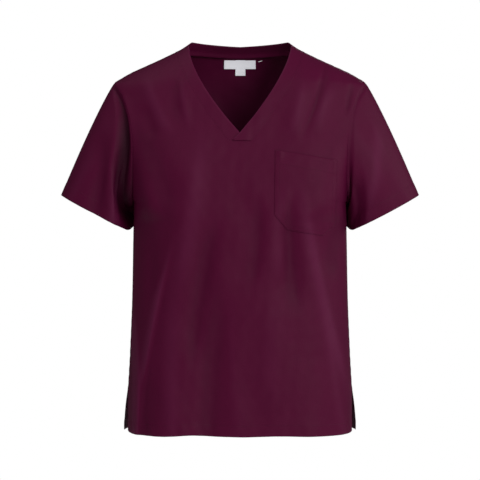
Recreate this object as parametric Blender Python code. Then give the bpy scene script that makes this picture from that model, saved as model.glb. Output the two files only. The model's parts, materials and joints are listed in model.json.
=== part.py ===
"""Short-sleeved V-neck scrub top, filled out as if worn, with nobody in it.

Frame: x to the wearer's left, y to the wearer's back, z up. The origin is the middle of the neck opening,
level with the two peaks of the neckband, where the wearer's neck and shoulders carry the garment.

Every piece of cloth is a grid of points on the outer side of the garment, worked out from its cut, and a
second grid one cloth thickness further in. Sizes are in millimetres and become metres in the mesh.
"""

from collections import defaultdict

import bmesh
import bpy
import numpy as np

# ---------------------------------------------------------------- driving sizes, in millimetres
CLOTH = 1.4  # wall of a sewn layer with its turnings
SEAM_GAP = 0.3  # space left between two pieces at a seam
LABEL_CLOTH = 1.0
LYING_GAP = 0.5  # space between a panel and what lies on it

HEM_Z = -707.0
VENT_TOP_Z = -625.0
VENT_OPENING = 7.0  # how far each edge of a side vent stands off the side line at the hem
VENT_SPLAY = 8.3  # how much wider the back hem is than the front hem, each side
HEM_WAVE_REACH = 90.0  # height above the hem at which its waves have died away
UNDERARM_Z = -292.0
SHOULDER_X = 228.7  # where the shoulder seam meets the sleeve
NECK_X = 94.0  # where the shoulder seam would meet the neck edge
NECK_Z = -8.0
SHOULDER_SLOPE = 0.4937
SHOULDER_CROWN = 2.3  # rise of the shoulder seam above a straight line
BAND_WIDTH = 26.0
ARMHOLE_DEPTH_FRONT = 72.0
ARMHOLE_DEPTH_BACK = 75.0
SWELL_BELOW, SWELL_ABOVE = 90.0, 30.0  # how far the armhole's fullness runs on, below and above it
SIDE_HOLD = 6.0  # the higher, the closer to the side the armhole's own outline stays

V_TIP_Z = -170.4
V_BEND = {"left": (86.0, -62.5), "right": (92.0, -62.5)}  # control point of each arm's V edge, (x, z)
BAND_BEND = (105.3, -75.5)  # control point of the band's outer seam
BAND_FOOT = (22.0, -184.0)  # where the band's outer seam reaches its square foot
LAP_X = 13.7  # how far a band's inner edge crosses the middle at the foot
BACK_NECK_DEPTH = 60.0

SLEEVE_TIP = (326.7, -278.2)  # outer end of the sleeve hem, (x, z)
SLEEVE_HEM_SLOPE = 0.521  # fall of the sleeve hem towards the body
SLEEVE_MID = (262.0, 5.0)  # middle of the sleeve opening, (x, y)
SLEEVE_INNER_REACH = 66.5  # from that middle to the side next to the body
SLEEVE_INNER_BACK = 36.0  # how far that side lies behind the middle
SLEEVE_HALF_DEPTH = 57.0
SLEEVE_LIFT = 17.0  # how far the hem rises next to the body
SLEEVE_LIFT_DEGREES = (141.0, 171.0, 205.0, 325.0)  # round the hem: lift starts, is full, lessens, has gone
SLEEVE_HEM_BOW = 1.9  # how far the hem line, seen from the front, bows down in its middle
SLEEVE_CROWN = 5.7  # how far the top line of the sleeve bows out
SLEEVE_CROWN_PLACE = 0.58  # below 1, that line is fullest near the shoulder
SLEEVE_FOLD_START = 0.25  # share of a sleeve's length in which its folds grow from the armhole seam
TUCK_OFF = 17.0  # from the armhole seam to the floor of the trough beside it
TUCK_RISE = 27.0  # from that floor back to the sleeve's own surface

POCKET_LEFT_X = 62.6
POCKET_TOP_Z = -202.2
POCKET_WIDTH = 110.0  # seen from the front; about 128 along the cloth
POCKET_HEIGHT = 137.0
POCKET_CORNER = 23.0
POCKET_DROOP = 17.6  # how much lower its outer end hangs
POCKET_LEAN = 2.5

LABEL_WIDTH, LABEL_TOP_Z, LABEL_FOOT_Z = 60.0, -24.4, -40.4
TAB_WIDTH, TAB_MID_X, TAB_FOOT_Z = 19.5, 1.0, -53.0

SLEEVE_STEPS = (0.0, 0.06, 0.12, 0.19, 0.28, 0.39, 0.52, 0.66, 0.82, 1.0)  # from armhole seam to hem
TORSO_ROWS = 12
VENT_ROWS = 3
ARMHOLE_ROWS = 12
SIDE_COLUMNS = 8
NECK_STEPS = (0.0, 0.04, 0.14, 0.28, 0.41, 0.54, 0.67, 0.80, 0.93, 1.0)  # along each arm of the V
BACK_NECK_DEGREES = (0.0, 12.0, 24.0, 38.0, 54.0, 72.0, 90.0)
LAP_FROM, LAP_FULL = 0.54, 0.93  # stretch of the upper band that climbs onto the lower one
FOLD_FADE = 0.35  # share of a fold's length in which each of its ends fades out
BODY_MIDDLE = (0.0, 0.0, -360.0)  # a place inside the body, which outer faces turn away from
RUNS_ON = 0.8  # cosine of the angle between normals up to which cloth runs on across a seam
ON_LINE = 0.4  # a point this near an outline counts as on it
SHARP_DEGREES = 50.0  # an edge bent more than this is shaded as a crease


def table(columns, *rows):
    """A table with named columns, as a dictionary of arrays."""
    return dict(zip(columns.split(), np.array(rows, float).T, strict=True))


SECTIONS = table(  # level sections of the body, from the hem to the neck
    "z half_width front back squareness",
    (-707.0, 203.2, 130.0, 118.0, 5.6),
    (-640.0, 203.6, 126.0, 114.0, 4.9),
    (-565.0, 200.3, 122.5, 108.0, 3.9),
    (-457.0, 196.2, 122.0, 101.0, 3.1),
    (-375.0, 194.8, 123.5, 103.5, 3.3),
    (-332.0, 194.2, 124.0, 105.0, 4.4),
    (-292.0, 194.2, 121.5, 108.0, 8.5),
    (-244.0, 192.5, 117.0, 110.5, 8.0),
    (-200.0, 192.5, 107.5, 111.5, 7.0),
    (-149.0, 197.5, 96.5, 109.0, 4.8),
    (-105.0, 211.0, 89.5, 104.5, 3.8),
    (-74.5, 228.7, 83.5, 99.5, 2.7),
    (-50.0, 228.7, 73.0, 93.0, 2.3),
    (-35.0, 228.7, 64.0, 87.0, 2.2),
    (-22.0, 228.7, 55.0, 80.0, 2.2),
    (-8.0, 228.7, 44.0, 70.0, 2.2),
)
NECK_EDGE = table(  # height of the back neck edge and of the seam below it, by angle round the neck
    "degrees edge_z seam_z",
    (0.0, -5.5, -17.3),
    (10.0, -1.4, -18.0),
    (22.0, 2.4, -18.6),
    (45.0, 1.2, -19.0),
    (90.0, -2.4, -22.0),
)
SHOULDER_LINE = table(  # rise of the shoulder seam above its slope, by distance out from the neck
    "out rise",
    (0.0, 2.5),
    (16.0, 0.2),
    (50.0, -0.9),
    (79.0, 0.1),
    (98.0, 1.4),
    (108.0, 1.8),
    (118.0, 1.5),
    (134.7, 0.3),
)
HEM_WAVES = table(  # soft rises of the front hem; the back hem has the same ones the other way round
    "x half lift",
    (-86.0, 30.0, 2.3),
    (-150.0, 26.0, -0.6),
    (70.0, 34.0, 1.0),
    (8.0, 22.0, -0.5),
)
# Folds: a soft ridge (height above zero) or trough from one place to another, in x and z on the panel. The
# line of a fold bows sideways, and each of its two flanks has its own width.
FRONT_FOLDS = table(
    "x0 z0 x1 z1 bow left right height",
    (-171.0, -52.0, -111.5, -183.0, 9.0, 22.9, 12.0, 3.3),
    (117.0, -66.0, 92.7, -182.0, 0.0, 14.9, 16.9, 2.6),
    (173.7, -79.3, 132.9, -170.0, 4.0, 23.0, 17.9, 2.7),
    (-201.0, -132.0, -118.3, -358.0, -13.0, 27.0, 27.0, -8.0),
    (-180.5, -262.0, -156.3, -470.7, -11.0, 21.4, 27.0, -5.6),
    (196.6, -150.1, 133.6, -251.1, 3.3, 20.5, 17.0, -2.3),
    (-112.4, -344.5, -184.0, -719.3, 11.5, 14.9, 10.0, 5.7),
    (-65.6, -139.9, -122.4, -485.3, -10.4, 27.0, 27.0, 3.4),
    (-37.7, -299.5, -87.9, -614.0, 6.8, 20.7, 16.3, -8.0),
    (-38.4, -404.7, -68.3, -855.4, -1.6, 27.0, 26.9, -8.0),
    (-109.7, -407.7, -110.9, -798.9, 11.0, 24.8, 20.2, 2.7),
    (-165.8, -571.1, -163.4, -794.8, 10.4, 14.0, 24.9, -8.0),
    (34.3, -270.9, 19.6, -460.4, -5.0, 27.0, 14.0, -4.9),
    (85.6, -253.5, 77.7, -447.6, 8.0, 25.1, 14.0, 3.8),
    (85.3, -267.2, 105.9, -512.8, 8.8, 23.6, 18.2, -8.0),
    (104.2, -240.3, 208.3, -672.7, 8.4, 23.3, 14.0, 5.3),
    (193.9, -305.2, 170.9, -441.9, 14.0, 23.6, 15.6, -8.0),
)
BACK_FOLDS = table(
    "x0 z0 x1 z1 bow left right height",
    (-112.0, -46.0, -82.0, -188.0, 4.0, 14.0, 15.0, -2.8),
    (126.0, -48.0, 90.0, -196.0, -4.0, 15.0, 14.0, -2.8),
    (8.0, -40.0, 2.0, -150.0, 2.0, 24.0, 24.0, -1.8),
    (-188.0, -165.0, -92.0, -290.0, -7.0, 17.0, 24.0, -4.6),
    (-190.0, -215.0, -122.0, -345.0, -5.0, 14.0, 15.0, -2.6),
    (188.0, -170.0, 85.0, -305.0, 8.0, 24.0, 17.0, -5.0),
    (190.0, -225.0, 128.0, -350.0, 5.0, 14.0, 14.0, -2.4),
    (-62.0, -300.0, -78.0, -800.0, 5.0, 16.0, 24.0, -5.6),
    (-36.0, -370.0, -42.0, -800.0, 4.0, 14.0, 22.0, 3.0),
    (56.0, -290.0, 72.0, -800.0, -5.0, 24.0, 16.0, -5.2),
    (30.0, -380.0, 38.0, -800.0, -3.0, 20.0, 14.0, 2.8),
    (-2.0, -360.0, 4.0, -800.0, 0.0, 22.0, 22.0, -2.4),
    (-118.0, -310.0, -162.0, -710.0, 5.0, 14.0, 12.0, 5.0),
    (120.0, -330.0, 156.0, -730.0, -5.0, 12.0, 14.0, 5.0),
    (-100.0, -420.0, -112.0, -700.0, 3.0, 14.0, 14.0, -2.4),
    (98.0, -430.0, 108.0, -680.0, -3.0, 14.0, 14.0, -2.4),
)
# Folds of a sleeve: round it by angle (0 on top, 90 in front, 180 under the arm), along it in percent.
SLEEVE_FOLDS = {
    "sleeve_right": table(
        "x0 z0 x1 z1 bow left right height",
        (33.8, 34.1, 100.1, 130.0, 12.0, 14.0, 14.0, -6.9),
        (67.3, 27.0, 120.6, 130.0, 12.0, 10.0, 10.0, 4.0),
        (87.8, 29.0, 121.4, 120.9, 9.0, 14.0, 14.0, 4.7),
        (32.0, 22.2, 73.0, 75.1, 4.6, 15.0, 13.6, 3.4),
        (300.0, 8.0, 280.0, 112.0, -3.0, 15.0, 12.0, -5.4),
        (238.0, 8.0, 254.0, 92.0, 3.0, 12.0, 12.0, -3.6),
    ),
    "sleeve_left": table(
        "x0 z0 x1 z1 bow left right height",
        (78.9, 22.9, 131.6, 118.6, -4.0, 12.0, 14.8, 2.1),
        (32.0, 27.5, 108.2, 79.6, 0.0, 14.1, 15.0, 3.9),
        (116.2, 15.5, 150.0, 99.4, -12.0, 12.0, 14.9, -4.1),
        (292.0, 4.0, 274.0, 112.0, -3.0, 14.0, 15.0, -5.4),
        (246.0, 12.0, 240.0, 96.0, 2.0, 12.0, 12.0, 3.2),
    ),
}
# Depth of the trough beside the armhole seam, by angle round the sleeve. It is deepest in front on the right.
TUCKS = {
    "sleeve_right": table(
        "degrees deep",
        (0.0, 0.0),
        (42.0, 5.0),
        (70.0, 12.0),
        (100.0, 16.0),
        (135.0, 12.0),
        (168.0, 4.0),
        (190.0, 1.0),
        (230.0, 3.0),
        (280.0, 4.0),
        (330.0, 1.0),
        (360.0, 0.0),
    ),
    "sleeve_left": table(
        "degrees deep",
        (0.0, 0.0),
        (60.0, 1.0),
        (115.0, 2.5),
        (140.0, 4.0),
        (168.0, 2.0),
        (235.0, 3.0),
        (285.0, 4.0),
        (335.0, 1.0),
        (360.0, 0.0),
    ),
}


# ---------------------------------------------------------------- curves and blends
def through(xs, ys, x):
    """A smooth curve through table rows that never overshoots between two rows (monotone cubic)."""
    step = np.diff(xs)
    rise = np.diff(ys) / step
    slope = np.zeros_like(ys)
    slope[0], slope[-1] = rise[0], rise[-1]
    bends = rise[:-1] * rise[1:] > 0.0
    left, right = 2.0 * step[1:] + step[:-1], step[1:] + 2.0 * step[:-1]
    inner = slope[1:-1]
    inner[bends] = (left + right)[bends] / (left[bends] / rise[:-1][bends] + right[bends] / rise[1:][bends])
    x = np.clip(x, xs[0], xs[-1])
    i = np.clip(np.searchsorted(xs, x, side="right") - 1, 0, len(step) - 1)
    u = (x - xs[i]) / step[i]
    start = ys[i] * (1.0 + 2.0 * u) * (1.0 - u) ** 2 + slope[i] * step[i] * u * (1.0 - u) ** 2
    end = ys[i + 1] * u**2 * (3.0 - 2.0 * u) - slope[i + 1] * step[i] * u**2 * (1.0 - u)
    return start + end


def section(column, z):
    return through(SECTIONS["z"], SECTIONS[column], z)


def smooth(u):
    """Runs from 0 at u = 0 to 1 at u = 1, level at both ends."""
    u = np.clip(u, 0.0, 1.0)
    return u * u * (3.0 - 2.0 * u)


def lerp(a, b, u):
    return a + (b - a) * u


def quarter_round(u):
    """Rises from 0 at u = 0 along a quarter of an ellipse, to 1 from u = 1 on."""
    return np.sqrt(1.0 - (1.0 - np.clip(u, 0.0, 1.0)) ** 2)


def bezier(p0, p1, p2, t):
    t = np.asarray(t, float)[..., None]
    return (1 - t) ** 2 * np.array(p0) + 2 * t * (1 - t) * np.array(p1) + t**2 * np.array(p2)


def unit(v):
    return v / np.maximum(np.linalg.norm(v, axis=-1, keepdims=True), 1e-9)


def fold_relief(folds, a, b):
    """Height of all the folds at (a, b): across a fold it is a bell, along it the ends fade out."""
    total = np.zeros(np.broadcast(a, b).shape)
    for a0, b0, a1, b1, bow, left, right, height in zip(*folds.values(), strict=True):
        length = np.hypot(a1 - a0, b1 - b0)
        along = ((a - a0) * (a1 - a0) + (b - b0) * (b1 - b0)) / length**2
        across = ((a - a0) * (b1 - b0) - (b - b0) * (a1 - a0)) / length
        across = across - bow * 4.0 * along * (1.0 - along)
        flank = np.where(across > 0.0, left, right)
        fade = smooth(along / FOLD_FADE) * smooth((1.0 - along) / FOLD_FADE)
        total += height * fade * np.exp(-((across / flank) ** 2))
    return total


# ---------------------------------------------------------------- the body of the garment
def ridge(x):
    """Height of the shoulder seam at x: a slope, a slight crown and the rise read from its table."""
    out = np.abs(x) - NECK_X
    run = SHOULDER_X - NECK_X
    crown = SHOULDER_CROWN * np.sin(np.pi * np.clip(out / run, 0.0, 1.0))
    inner_slope = SHOULDER_SLOPE - SHOULDER_CROWN * np.pi / run
    rise = through(SHOULDER_LINE["out"], SHOULDER_LINE["rise"], out)
    return NECK_Z - np.where(out > 0.0, SHOULDER_SLOPE, inner_slope) * out + crown + rise


SHOULDER_Z = float(ridge(SHOULDER_X))
ARMHOLE_MID_Z = (SHOULDER_Z + UNDERARM_Z) / 2.0
ARMHOLE_HALF = (SHOULDER_Z - UNDERARM_Z) / 2.0
NECK_SEAM_X = NECK_X + BAND_WIDTH / float(np.hypot(1.0, SHOULDER_SLOPE))
NECK_SEAM = (NECK_SEAM_X, float(ridge(NECK_SEAM_X)))


def vent(z):
    """0 above the vents, 1 at the hem: a quarter of a sine, so that a vent parts at once."""
    return np.sin(np.pi / 2.0 * np.clip((VENT_TOP_Z - z) / (VENT_TOP_Z - HEM_Z), 0.0, 1.0))


def half_width(z, side):
    return section("half_width", z) + (VENT_SPLAY * vent(z) if side > 0 else 0.0)


def ridge_x(z):
    """Where the shoulder seam is at height z."""
    x = np.linspace(NECK_X / 2.0, SHOULDER_X, 400)
    return np.interp(-z, -ridge(x), x)


def neck_table(column, x):
    """A height round the back neck, at x on the seam under the band."""
    degrees = np.degrees(np.arccos(np.clip(np.abs(x) / NECK_SEAM_X, 0.0, 1.0)))
    return through(NECK_EDGE["degrees"], NECK_EDGE[column], degrees)


def depth(x, z, side):
    """How far the cloth stands from the side line: the front (side -1) or the back (side 1) at (x, z).

    A level section is a rounded oblong. It ends on the side seam or the shoulder seam, where it stands
    straight across, or on the armhole's edge, which is an ellipse seen from the side. Away from the armhole,
    that ellipse fades into a softer swell of the same height, so that it leaves no crease across the chest.
    """
    s = np.clip(np.abs(x) / np.minimum(half_width(z, side), ridge_x(z)), 0.0, 1.0)
    above, below = SHOULDER_Z - z, z - UNDERARM_Z
    armhole_edge = quarter_round(above / ARMHOLE_HALF) * quarter_round(below / ARMHOLE_HALF)
    reach = ARMHOLE_HALF + SWELL_BELOW
    swell = smooth((above + SWELL_ABOVE) / reach) * smooth((below + SWELL_BELOW) / reach)
    height = ARMHOLE_DEPTH_FRONT if side < 0 else ARMHOLE_DEPTH_BACK
    edge = height * lerp(swell, armhole_edge, s**SIDE_HOLD) + VENT_OPENING * vent(z)
    middle = section("front" if side < 0 else "back", z)
    straight_across, slanting = 0.5, 1.0
    crosswise = (1.0 - s ** section("squareness", z)) ** lerp(straight_across, slanting, swell)
    folds = FRONT_FOLDS if side < 0 else BACK_FOLDS
    relief = fold_relief(folds, x, z) * (1.0 - s**SIDE_HOLD)
    return edge + (middle - edge) * crosswise + relief


def panel_rows():
    """Heights of the rows as shares of a column: hem, vents, sides, then the armhole by equal angles."""
    rise = SHOULDER_Z - HEM_Z
    vent_share, underarm_share = (VENT_TOP_Z - HEM_Z) / rise, (UNDERARM_Z - HEM_Z) / rise
    angles = np.linspace(0.0, np.pi, ARMHOLE_ROWS + 1)
    return np.concatenate(
        [
            np.linspace(0.0, vent_share, VENT_ROWS + 1)[:-1],
            np.linspace(vent_share, underarm_share, TORSO_ROWS + 1)[:-1],
            (ARMHOLE_MID_Z - ARMHOLE_HALF * np.cos(angles) - HEM_Z) / rise,
        ]
    )


def panel_columns(side):
    """(share of the half width, height of the top edge) for each column, from the wearer's right to left."""
    if side < 0:
        neck = bezier(NECK_SEAM, BAND_BEND, BAND_FOOT, NECK_STEPS[::-1])
        share = neck[:, 0] / half_width(neck[:, 1], side)
        share = np.concatenate([[0.0, share[0] / 2.0], share])
        top = np.concatenate([[BAND_FOOT[1]] * 2, neck[:, 1]])
    else:
        x = NECK_SEAM_X * np.cos(np.radians(BACK_NECK_DEGREES[::-1]))
        share = x / SHOULDER_X
        top = neck_table("seam_z", x)
        top[-1] = NECK_SEAM[1]
    first = np.arcsin(share[-1])
    outer = np.sin(np.linspace(first, np.pi / 2.0, SIDE_COLUMNS + 1)[1:])
    share = np.concatenate([share, outer])
    top = np.concatenate([top, ridge(outer * SHOULDER_X)])
    return np.concatenate([-share[:0:-1], share]), np.concatenate([top[:0:-1], top])


def hem_wave(x, side):
    """How much the hem line rises at x: a few soft bells."""
    bells = np.exp(-(((x[..., None] * -side - HEM_WAVES["x"]) / HEM_WAVES["half"]) ** 2))
    return (HEM_WAVES["lift"] * bells).sum(axis=-1)


def panel(side):
    """Rows from hem to neck, columns across."""
    share, top = panel_columns(side)
    z = HEM_Z + (top - HEM_Z) * panel_rows()[:, None]
    z = z + hem_wave(share * half_width(HEM_Z, side), side) * (1.0 - smooth((z - HEM_Z) / HEM_WAVE_REACH))
    x = share * half_width(z, side)
    y = side * depth(x, z, side)
    y[-1, np.abs(share) * SHOULDER_X > NECK_SEAM_X - 1e-6] = 0.0
    return np.stack([x, y, z], axis=-1)


# ---------------------------------------------------------------- neckband
def front_band(side):
    """One arm of the V, from shoulder seam to square foot. Columns run from the V edge to the seam."""
    t = np.array(NECK_STEPS)
    outer = bezier(NECK_SEAM, BAND_BEND, BAND_FOOT, t)
    bend = V_BEND["left" if side > 0 else "right"]
    inner = bezier((NECK_X, ridge(NECK_X)), bend, (0.0, V_TIP_Z), np.clip(t / LAP_FULL, 0.0, 1.0))
    inner[-1] = (-LAP_X, BAND_FOOT[1] + SEAM_GAP)
    outer[-1, 1] += SEAM_GAP
    across = np.linspace(0.0, 1.0, 3)
    x = lerp(inner[:, :1], outer[:, :1], across)
    crown = ridge(x) - lerp(ridge(inner[:, :1]), ridge(outer[:, :1]), across)
    z = lerp(inner[:, 1:], outer[:, 1:], across) + crown * (1.0 - t)[:, None]
    x = side * x
    y = -depth(x, z, -1)
    y[0] = 0.0
    return np.stack([x, y, z], axis=-1)


def back_band():
    """From the wearer's right shoulder round the back to the left. Columns run from the neck edge down."""
    quarter = np.radians(BACK_NECK_DEGREES)
    angle = np.concatenate([np.pi - quarter, quarter[-2::-1]])[:, None]
    share = np.abs(np.cos(angle)) * NECK_SEAM_X
    across = np.linspace(0.0, 1.0, 3)
    x = lerp(NECK_X, NECK_SEAM_X, across) * np.cos(angle)
    seam_x = lerp(NECK_X, NECK_SEAM_X, across)
    crown = ridge(seam_x) - lerp(ridge(NECK_X), NECK_SEAM[1], across)
    z = lerp(neck_table("edge_z", share), neck_table("seam_z", share), across) + crown
    y = lerp(BACK_NECK_DEPTH * np.sin(angle), depth(x[:, -1:], z[:, -1:], 1), across)
    y[[0, -1]] = 0.0
    z[[0, -1]] = ridge(seam_x)
    return np.stack([x, y, z], axis=-1)


# ---------------------------------------------------------------- sleeves
def sleeve_hem(angle):
    """The opening, by angle from its outer tip: an ellipse that leans back where it nears the body."""
    c, s = np.cos(angle), np.sin(angle)
    mid_x, mid_y = SLEEVE_MID
    x = mid_x + np.where(c > 0.0, SLEEVE_TIP[0] - mid_x, SLEEVE_INNER_REACH) * c
    y = mid_y - SLEEVE_HALF_DEPTH * s + SLEEVE_INNER_BACK * np.clip(-c, 0.0, 1.0) ** 3
    degrees = np.degrees(angle)
    starts, full, lessens, gone = SLEEVE_LIFT_DEGREES
    rising = smooth((degrees - starts) / (full - starts))
    falling = smooth((degrees - lessens) / (gone - lessens))
    share = np.clip((SLEEVE_TIP[0] - x) / (SLEEVE_TIP[0] - mid_x + SLEEVE_INNER_REACH), 0.0, 1.0)
    bow = SLEEVE_HEM_BOW * np.sin(np.pi * share)
    z = SLEEVE_TIP[1] - SLEEVE_HEM_SLOPE * (SLEEVE_TIP[0] - x) - bow + SLEEVE_LIFT * rising * (1.0 - falling)
    return np.stack([x, y, z], axis=-1)


def armhole(front, back):
    """The wearer's left armhole: from the shoulder down its front edge and up its back edge."""
    return np.concatenate([front[: -ARMHOLE_ROWS - 2 : -1, -1], back[-ARMHOLE_ROWS:-1, -1]])


def off_seam(grid):
    """Distance of each point of a sleeve from its armhole seam, which is its first ring."""
    ring = grid[0][:, None]
    seam = lerp(ring, np.roll(ring, -1, axis=0), np.linspace(0.0, 1.0, 9)[:-1, None]).reshape(-1, 3)
    return np.linalg.norm(grid[:, :, None] - seam, axis=-1).min(axis=-1)


def sleeve(name, start, side):
    """Straight lines from armhole to sleeve hem, bowed out a little along the top. Closed all round.

    Just off the armhole seam the cloth dips into a trough, whose depth changes round the sleeve.
    """
    angle = 2.0 * np.pi * np.arange(len(start)) / len(start)
    u = np.array(SLEEVE_STEPS)[:, None]
    grid = lerp(start * (side, 1.0, 1.0), sleeve_hem(angle), u[..., None])
    outward = unit(grid - grid.mean(axis=1, keepdims=True))
    bow = SLEEVE_CROWN * np.sin(np.pi * u**SLEEVE_CROWN_PLACE) * (1.0 + np.cos(angle)) / 2.0
    relief = fold_relief(SLEEVE_FOLDS[name], np.degrees(angle)[None, :], u * 100.0)
    relief = relief * smooth(u / SLEEVE_FOLD_START) * (1.0 - np.clip(-np.cos(angle), 0.0, 1.0) ** 4)
    away = off_seam(grid)
    deep = through(TUCKS[name]["degrees"], TUCKS[name]["deep"], np.degrees(angle))
    tuck = deep * smooth(away / TUCK_OFF) * (1.0 - smooth((away - TUCK_OFF) / TUCK_RISE))
    grid = grid + outward * (bow + relief - tuck)[..., None]
    return grid * (side, 1.0, 1.0)


# ---------------------------------------------------------------- walls and seams
def grid_normals(grid, closed):
    """Unit normals of a grid, pointing away from the middle of the shape."""
    if closed:
        crosswise = np.roll(grid, -1, axis=1) - np.roll(grid, 1, axis=1)
        middle = grid.mean(axis=1, keepdims=True)
    else:
        crosswise = np.gradient(grid, axis=1)
        middle = np.array(BODY_MIDDLE)
    normals = unit(np.cross(crosswise, np.gradient(grid, axis=0)))
    turned = np.sum(normals * unit(grid - middle)) < 0.0
    return -normals if turned else normals


def into_piece(grid, closed):
    """For each point on a grid's border, the direction from the border into the piece; zero elsewhere."""
    inward = np.zeros_like(grid)
    inward[0] += unit(grid[1] - grid[0])
    inward[-1] += unit(grid[-2] - grid[-1])
    if not closed:
        inward[:, 0] += unit(grid[:, 1] - grid[:, 0])
        inward[:, -1] += unit(grid[:, -2] - grid[:, -1])
    return inward


def join_at_seams(pieces):
    """Gives pieces that share a seam one common offset there, and draws them apart by the seam gap.

    Where the cloth runs on across the seam, the walls end on the plane between them. Where it doubles back,
    as under the arm, the sleeve keeps its own normal and stands off the body sideways.
    """
    meeting = defaultdict(list)
    for piece in pieces:
        piece["normals"] = grid_normals(piece["grid"], piece["closed"])
        piece["inset"] = piece["normals"] * CLOTH
        piece["shift"] = np.zeros_like(piece["grid"])
        inward = into_piece(piece["grid"], piece["closed"])
        for r, c in zip(*np.nonzero(np.linalg.norm(inward, axis=-1) > 0.0), strict=True):
            key = tuple(np.round(piece["grid"][r, c], 2) + 0.0)
            meeting[key].append((piece, (r, c), inward[r, c], piece["normals"][r, c]))
    for members in meeting.values():
        if len(members) < 2:
            continue
        everywhere = unit(sum(normal for *_, normal in members))
        body = unit(sum(normal for piece, _, _, normal in members if not piece["closed"]))
        runs_on = min(float(everywhere @ normal) for *_, normal in members) > RUNS_ON
        total = sum(unit(inward) for _, _, inward, _ in members)
        for piece, place, inward, normal in members:
            away = unit(inward) - (total - unit(inward)) / (len(members) - 1)
            shared, part = everywhere, 0.5
            if not runs_on and piece["closed"]:
                away, shared, part = unit(inward) + 2.0 * body, normal, 1.0
            elif not runs_on:
                shared = body
            piece["inset"][place] = shared * CLOTH / float(shared @ normal)
            piece["shift"][place] = unit(away) * SEAM_GAP * part


def material(name, colour, roughness):
    made = bpy.data.materials.new(name)
    made.use_nodes = True
    shader = made.node_tree.nodes["Principled BSDF"]
    shader.inputs["Base Color"].default_value = (*colour, 1.0)
    shader.inputs["Roughness"].default_value = roughness
    shader.inputs["Metallic"].default_value = 0.0
    return made


def solid(name, outer, inner, faces, border, cloth, parent):
    """A closed solid: faces on the outer points, the same faces on the inner points, and a rim on the border.

    Each stretch of rim is split from its higher outer corner to its lower inner one, so that the rims of two
    pieces that meet at a seam are parallel, however the cloth twists there.
    """
    count = len(outer)
    turned = [[corner + count for corner in reversed(face)] for face in faces]
    rim = []
    for a, b in border:
        if outer[a][2] > outer[b][2]:
            rim += [(b, a, b + count), (a, a + count, b + count)]
        else:
            rim += [(b, a, a + count), (b, a + count, b + count)]
    mesh = bpy.data.meshes.new(name)
    mesh.from_pydata((np.concatenate([outer, inner]) * 0.001).tolist(), [], faces + turned + rim)
    work = bmesh.new()
    work.from_mesh(mesh)
    bmesh.ops.recalc_face_normals(work, faces=work.faces)
    work.to_mesh(mesh)
    work.free()
    mesh.materials.append(cloth)
    mesh.shade_smooth()
    mesh.set_sharp_from_angle(angle=np.radians(SHARP_DEGREES))
    made = bpy.data.objects.new(name, mesh)
    made.parent = parent
    bpy.context.scene.collection.objects.link(made)


def grid_faces(rows, columns, closed=False):
    """(faces, border) of a grid of points, as point numbers; the border runs the way its faces do."""
    index = np.arange(rows * columns).reshape(rows, columns)
    if closed:
        index = np.concatenate([index, index[:, :1]], axis=1)
    corners = (index[:-1, :-1], index[:-1, 1:], index[1:, 1:], index[1:, :-1])
    lines = [index[0], index[-1, ::-1]]
    if not closed:
        lines += [index[::-1, 0], index[:, -1]]
    border = np.concatenate([np.stack([line[:-1], line[1:]], axis=-1) for line in lines])
    return np.stack(corners, axis=-1).reshape(-1, 4).tolist(), border.tolist()


# ---------------------------------------------------------------- pieces that lie on a panel
def patch(grid, outline, gap, thickness):
    """The stretch of a panel inside an outline, taken from the panel's own points and moved off it twice.

    The outline is a list of (x, z) corners of a convex shape, anticlockwise seen from the front. It returns
    the points at the gap, the points one thickness further, the faces and the border.
    """
    faces, _ = grid_faces(*grid.shape[:2])
    work = bmesh.new()
    points = [work.verts.new(point) for point in grid.reshape(-1, 3)]
    for face in faces:
        work.faces.new([points[corner] for corner in face])
    bmesh.ops.triangulate(work, faces=work.faces, quad_method="FIXED")
    for (x0, z0), (x1, z1) in zip(outline, outline[1:] + outline[:1], strict=True):
        everything = work.verts[:] + work.edges[:] + work.faces[:]
        outward = (z1 - z0, 0.0, x0 - x1)
        bmesh.ops.bisect_plane(
            work, geom=everything, dist=ON_LINE, plane_co=(x0, 0.0, z0), plane_no=outward, clear_outer=True
        )
    work.normal_update()
    work.verts.index_update()
    points = np.array([vert.co for vert in work.verts])
    normals = np.array([vert.normal for vert in work.verts])
    if normals[:, 1].mean() > 0.0:
        normals = -normals
    faces = [[vert.index for vert in face.verts] for face in work.faces]
    border = [
        (edge.link_loops[0].vert.index, edge.link_loops[0].link_loop_next.vert.index)
        for edge in work.edges
        if edge.is_boundary
    ]
    work.free()
    return points + normals * gap, points + normals * (gap + thickness), faces, border


def pocket_outline():
    """A rectangle with its lower corners cut off, its foot hanging lower on the side away from the middle."""
    cut = POCKET_CORNER
    flat = [
        (0.0, POCKET_HEIGHT - cut),
        (cut, POCKET_HEIGHT),
        (POCKET_WIDTH - cut, POCKET_HEIGHT),
        (POCKET_WIDTH, POCKET_HEIGHT - cut),
        (POCKET_WIDTH, 0.0),
        (0.0, 0.0),
    ]
    return [
        (
            POCKET_LEFT_X + across - POCKET_LEAN * down / POCKET_HEIGHT,
            POCKET_TOP_Z - POCKET_DROOP * across / POCKET_WIDTH - down,
        )
        for across, down in flat
    ]


def strip_outline(width, mid_x, top_z, foot_z):
    left, right = mid_x - width / 2.0, mid_x + width / 2.0
    return [(left, foot_z), (right, foot_z), (right, top_z), (left, top_z)]


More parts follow.
